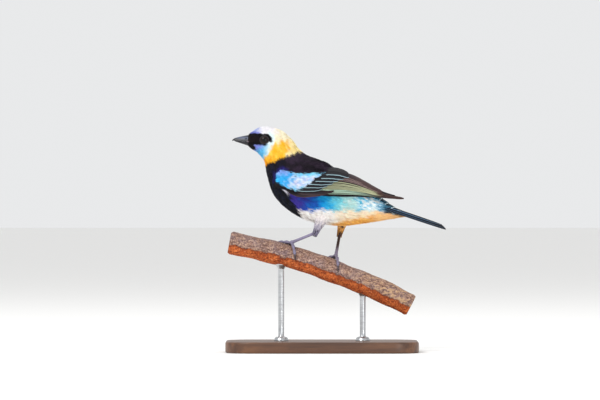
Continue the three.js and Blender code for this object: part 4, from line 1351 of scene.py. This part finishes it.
def makeCutEnds():
    discs = []
    columns, rings = 96, 40
    for end in (-1, 1):
        angle = np.arange(columns) * 2 * math.pi / columns
        rim = branchPoint(end * branchLength / 2, angle, -0.55)
        middle = rim.mean(0)
        way = branchMiddle(end * branchLength / 2) - branchMiddle(end * (branchLength / 2 - 1))
        share = np.linspace(0.02, 1, rings)
        points = (middle + (rim - middle) * share[:, None, None]).reshape(-1, 3)
        points += way * 0.06 * (1 - np.repeat(share ** 4, columns)[:, None])
        faces = gridFaces(rings, columns)
        j = np.arange(columns)
        fan = np.stack([np.full(columns, len(points)), j, (j + 1) % columns], -1)
        faces = np.vstack([halved(faces), fan])
        points = np.vstack([points, middle + way * 0.06])
        if end > 0:
            faces = faces[:, ::-1]
        radius = np.append(np.repeat(share, columns), 0)
        turn = np.append(np.tile(angle, rings), 0)
        wavy = np.sin(2 * math.pi * 6 * radius + 0.5 * np.sin(turn * 2) + 0.25 * np.sin(turn * 5))
        tint = blend(perch["wood"], perch["ring"], 0.5 + 0.5 * wavy)
        tint = blend(tint, perch["pith"], np.maximum(smooth(0.1, 0.03, radius), smooth(0.88, 0.97, radius)))
        bake = np.column_stack([
            0.25 + 0.5 * (end > 0) + 0.2 * radius * np.cos(turn),
            0.5 + 0.2 * radius * np.sin(turn),
        ])
        discs.append((points, faces, tint, bake))
    newPiece("branch_cut_ends", "bark", cutWoodMaterial(), *joinMeshes(discs))


# Horny skin of the legs: dry plates over thin skin, slate-lilac, with a dull gleam on each plate.
def legMaterial(name, roughness):
    settings = {"Roughness": roughness, "IOR": 1.5, "Specular IOR Level": 0.4}
    return grainMaterial(name, settings, size=0.35, contrast=0.22, relief=0.04)


tarsus = {"shaft": 0.76, "foot": 1.0, "heel": 1.15, "scutes": 9, "step": 0.12}
toe = {"root": 0.9, "tip": 0.66, "pad": 1.15, "knuckle": 0.1, "scutes": 9, "settle": 0.4}
claw = {"radius": 0.52, "point": 0.14, "arch": 0.45, "base": "#3E3840", "tip": "#161316"}
legTints = {
    "left": ("#857E98", "#7C758C", "#3E3846"),  # at the heel, at the foot, and in the joints between scutes
    "right": ("#3C2A26", "#786F84", "#241A1C"),
}


# Plates that overlap down a limb: each rises slowly and ends in a small step.
def plates(t, count):
    return ((t * count) % 1) ** 1.5


def toeRadius(t):
    return toe["root"] + (toe["tip"] - toe["root"]) * t + toe["knuckle"] * np.cos(t * math.pi * 5)


def makeTarsus(name, joint, skin):
    high, low, groove = (hexColor(shade) for shade in legTints[name])
    heel = np.array(legs[name]["heel"])
    shank = lineTube([heel + (heel - joint) * 0.06, heel, (heel + joint) / 2, joint], (-1, 0, 0.2))

    def place(t, angle):
        front = 0.5 + 0.5 * np.cos(angle)
        bulge = (tarsus["heel"] - tarsus["shaft"]) * np.exp(-((t - 0.07) / 0.07) ** 2)
        reach = tarsus["shaft"] + bulge + (tarsus["foot"] - tarsus["shaft"]) * t ** 8
        reach = reach * (1 - 0.12 * np.sin(angle) ** 2)
        return shank(t, angle, reach + tarsus["step"] * front * plates(t, tarsus["scutes"]))

    points, faces, t, angle = tube(place, 150, 28)
    joints = smooth(0.16, 0.0, (t * tarsus["scutes"]) % 1) * (0.5 + 0.5 * np.cos(angle)) * 0.8
    tint = blend(blend(high, low, smooth(0.55, 0.9, t)), groove, joints)
    newPiece(f"tarsus_{name}_scales", "legs", skin, points, faces, tint, replaces=(f"tarsus_{name}",))


def toeMesh(leg, one, low, groove):
    along, around = leg["toes"][one][:2]
    start, turn = leg["along"], leg["round"] * degree
    steps = np.linspace(0, 1, 9)
    settled = (toe["pad"] - toe["root"] + leg["lift"]) * (1 - steps) ** 3
    off = gap * toe["settle"] + toeRadius(steps) + settled
    outward = branchPoint(start, turn, 3.0) - branchPoint(start, turn, 0.0)
    line = lineTube(branchPoint(start + along * steps, turn + around * degree * steps, off), outward)

    def place(t, angle):
        above = np.maximum(0, np.cos(angle))
        pads = 0.09 * np.maximum(0, -np.cos(angle)) * np.cos(t * math.pi * 5)
        end = np.sqrt(np.clip((1 - t) / 0.05, 0.15, 1))
        return line(t, angle, (toeRadius(t) + 0.07 * above * plates(t, toe["scutes"]) + pads) * end)

    points, faces, t, angle = tube(place, 70, 20)
    joints = smooth(0.2, 0.0, (t * toe["scutes"]) % 1) * np.maximum(0, np.cos(angle)) * 0.8
    # the side of the toe that faces the bark is painted darker, as shade between toe and branch
    tint = blend(blend(low, groove, joints), groove, smooth(0.2, -0.6, np.cos(angle)) * 0.5)
    return points, faces, tint


def clawMesh(leg, one):
    along, around, clawAlong, clawAround = leg["toes"][one]
    start, turn = leg["along"] + along, (leg["round"] + around) * degree
    steps = np.linspace(-0.25, 1, 8)
    out = np.clip(steps, 0, 1)
    off = gap * toe["settle"] + toe["tip"] * (1 - out) + claw["point"] * 0.4
    off = off + claw["arch"] * np.sin(out * math.pi)
    middle = branchPoint(start + clawAlong * steps, turn + clawAround * degree * steps, off)
    outward = branchPoint(start, turn, 3.0) - branchPoint(start, turn, 0.0)
    line = lineTube(middle, outward)

    def place(t, angle):
        return line(t, angle, (claw["radius"] * (1 - t) ** 0.7 + 0.05) * (1 - 0.2 * np.sin(angle) ** 2))

    points, faces, t, angle = tube(place, 40, 16)
    return points, faces, blend(claw["base"], claw["tip"], smooth(0.2, 0.9, t))


def makeLegs():
    skin = legMaterial("scaly_leg_skin", 0.5)
    horn = legMaterial("dark_claw_horn", 0.35)
    for name, leg in legs.items():
        low, groove = (hexColor(shade) for shade in legTints[name][1:])
        joint = branchPoint(leg["along"], leg["round"] * degree, gap + toe["pad"] + leg["lift"])
        makeTarsus(name, joint, skin)
        points, faces = tube(ballAt(joint, toe["pad"]), 20, 24)[:2]
        parts = [(points, faces, np.tile(low, (len(points), 1)))]
        for one in leg["toes"]:
            parts.append(toeMesh(leg, one, low, groove))
            clawName = f"claw_{name}_{one}"
            newPiece(f"{clawName}_horn", "claws", horn, *clawMesh(leg, one), replaces=(clawName,))
        newPiece(f"foot_{name}_scales", "legs", skin, *joinMeshes(parts), replaces=(f"foot_{name}",))


stand = {
    "length": 104.0, "width": 60.0, "height": 6.0, "corner": 14.0, "edge": 1.0,
    "rod": 1.6, "collar": 4.0, "collarHeight": 2.2, "saddle": 3.2, "saddleHeight": 3.0,
    "rods": {"front": -22.0, "back": 22.0},
}


# Oiled walnut: open pores and long grain, satin from hand-rubbed oil.
def walnutMaterial():
    material, tree, shader, place = newMaterial("oiled_walnut", {
        "Roughness": 0.42,
        "IOR": 1.5,
        "Coat Weight": 0.1,
        "Coat Roughness": 0.35,
    })
    drawn = addNode(tree, "Mapping", {"Scale": (0.06, 1.0, 0.5)}, {"Vector": place})
    grain = addNode(tree, "TexNoise", {"Scale": 1 / (3.5 * mm), "Detail": 6.0, "Distortion": 0.6}, {
        "Vector": drawn,
    })
    pores = addNode(tree, "TexNoise", {"Scale": 1 / (0.4 * mm), "Detail": 2.0}, {"Vector": drawn})
    shades = addNode(tree, "ValToRGB", {"stops": {
        0.3: "#3A2216", 0.5: "#5E3C26", 0.62: "#704A2E", 0.75: "#4A2D1C",
    }}, {0: grain})
    light = addNode(tree, "Math", {"operation": "MULTIPLY_ADD", 1: 0.5, 2: 0.75}, {0: pores})
    color = addNode(tree, "VectorMath", {"operation": "SCALE"}, {0: shades, "Scale": light})
    dress(tree, shader, color, pores, 0.05)
    return material


# Turned stainless steel: bright grey metal with fine rings left by the lathe.
def steelMaterial():
    settings = {"Metallic": 1.0, "Roughness": 0.28}
    material, tree, shader, place = newMaterial("turned_stainless_steel", settings)
    squeezed = addNode(tree, "Mapping", {"Scale": (0.05, 0.05, 1.0)}, {"Vector": place})
    rings = addNode(tree, "TexNoise", {"Scale": 1 / (0.3 * mm), "Detail": 3.0}, {"Vector": squeezed})
    shades = addNode(tree, "ValToRGB", {"stops": {0.3: "#A9ABAE", 0.7: "#C9CBCD"}}, {0: rings})
    dress(tree, shader, shades, rings, 0.02)
    return material


def makeBase():
    x, y, r = stand["length"] / 2, stand["width"] / 2, stand["corner"]
    edge, height = stand["edge"], stand["height"]
    bends = np.linspace(0, quarterTurn, 7)
    # inset and height of each ring: round the lower edge, up the side, over the upper edge and in
    profile = [(edge * (1 - math.sin(s)), edge * (1 - math.cos(s))) for s in bends]
    profile += [(edge * (1 - math.cos(s)), height - edge * (1 - math.sin(s))) for s in bends]
    profile += [(edge + 3, height), (edge + 8, height)]
    count = 96
    turns = (np.arange(count) + 0.5) * 2 * math.pi / count
    rings = []
    for inset, z in profile:
        rings.append(np.column_stack([
            np.sign(np.cos(turns)) * (x - r) + (r - inset) * np.cos(turns),
            np.sign(np.sin(turns)) * (y - r) + (r - inset) * np.sin(turns),
            np.full(count, z),
        ]))
    board = tube(lambda t, angle: np.array(rings), len(rings), count)
    newPiece("stand_base_board", "base_wood", walnutMaterial(), *board[:2], replaces=("stand_base",))


def makeRods():
    steel = steelMaterial()
    foot = stand["height"] + 0.02
    rod, collar, saddle = stand["rod"], stand["collar"], stand["saddle"]
    for name, rodX in stand["rods"].items():
        top = float(branchMiddle(rodX)[2]) - perch["radius"] * 0.35 - 0.4
        under = top - stand["saddleHeight"]
        corners = [
            # radius and height, from the collar up to the saddle
            (0.01, foot), (collar - 0.25, foot), (collar, foot + 0.25), (collar * 0.88, foot + 1.6),
            (collar * 0.7, foot + stand["collarHeight"]), (rod + 0.25, foot + stand["collarHeight"] + 0.1),
            (rod, foot + stand["collarHeight"] + 0.6), (rod, under - stand["saddleHeight"]),
            (rod + 0.15, under - 2), (saddle - 0.3, under - 0.2), (saddle, under + 0.3),
            (saddle, top), (0.01, top),
        ]
        steps = np.arange(len(corners))

        def place(t, angle):
            radius, z = (np.interp(t * steps[-1], steps, [corner[k] for corner in corners]) for k in range(2))
            return np.stack([rodX + np.cos(angle) * radius, np.sin(angle) * radius, z], -1)

        turned = tube(place, 6 * steps[-1] + 1, 48)
        newPiece(f"stand_rod_{name}_turned", "rod_steel", steel, *turned[:2], replaces=(f"stand_rod_{name}",))


# Floor, lights and camera

studio = {
    "floor": "#F7F6F4", "world": "#EEEFF0", "worldStrength": 0.95,
    "lens": 300.0, "sensor": 36.0, "distance": 2.7, "aimX": -11.88, "aimZ": 82.08,  # a frame 324 mm wide
    "lampAimZ": 88.0,
    "lights": {
        # place in metres, size in metres and power in watts
        "key": ((-0.75, -1.1, 1.15), 0.6, 14.0),
        "fill": ((0.7, -1.4, 0.25), 0.4, 4.0),
        "top": ((0.1, 0.5, 1.4), 0.8, 4.0),
    },
}


def makeStudio():
    # Matt painted board: even and pale, with no gloss.
    material = newMaterial("matt_painted_floor", {
        "Base Color": (*hexColor(studio["floor"]), 1),
        "Roughness": 0.9,
        "Specular IOR Level": 0.2,
    })[0]
    mesh = bpy.data.meshes.new("floor")
    reach = 12.0
    corners = [(-reach, -reach, 0), (reach, -reach, 0), (reach, reach, 0), (-reach, reach, 0)]
    mesh.from_pydata(corners, [], [(0, 1, 2, 3)])
    floor = bpy.data.objects.new("floor", mesh)
    mesh.materials.append(material)
    bpy.context.collection.objects.link(floor)
    world = bpy.data.worlds.new("soft_daylight")
    world.use_nodes = True
    background = world.node_tree.nodes["Background"]
    background.inputs["Color"].default_value = (*hexColor(studio["world"]), 1)
    background.inputs["Strength"].default_value = studio["worldStrength"]
    bpy.context.scene.world = world
    aim = Vector((studio["aimX"], 0, studio["lampAimZ"])) * mm
    for name, (place, size, power) in studio["lights"].items():
        light = bpy.data.lights.new(name, "AREA")
        light.size = size
        light.energy = power
        lamp = bpy.data.objects.new(name, light)
        lamp.location = place
        lamp.rotation_euler = (aim - Vector(place)).to_track_quat("-Z", "Y").to_euler()
        bpy.context.collection.objects.link(lamp)
    camera = bpy.data.objects.new("camera", bpy.data.cameras.new("camera"))
    camera.data.lens = studio["lens"]
    camera.data.sensor_width = studio["sensor"]
    camera.location = (studio["aimX"] * mm, -studio["distance"], studio["aimZ"] * mm)
    camera.rotation_euler = (quarterTurn, 0, 0)
    bpy.context.collection.objects.link(camera)
    bpy.context.scene.camera = camera
    bpy.context.scene.view_settings.view_transform = "Standard"


makeStudio()
print("studio ready")
makeSkin()
print("skin made")
growBodyCoat()
growThighCoat()
print("body coat grown")
for sideName, sideWay in sides.items():
    makeWing(sideName, sideWay)
print("wings made")
makeTail()
print("tail made")
makeEyes()
makeBill()
print("head finished")
makePerch()
makeLegs()
makeBase()
makeRods()
print("branch, legs and stand made")
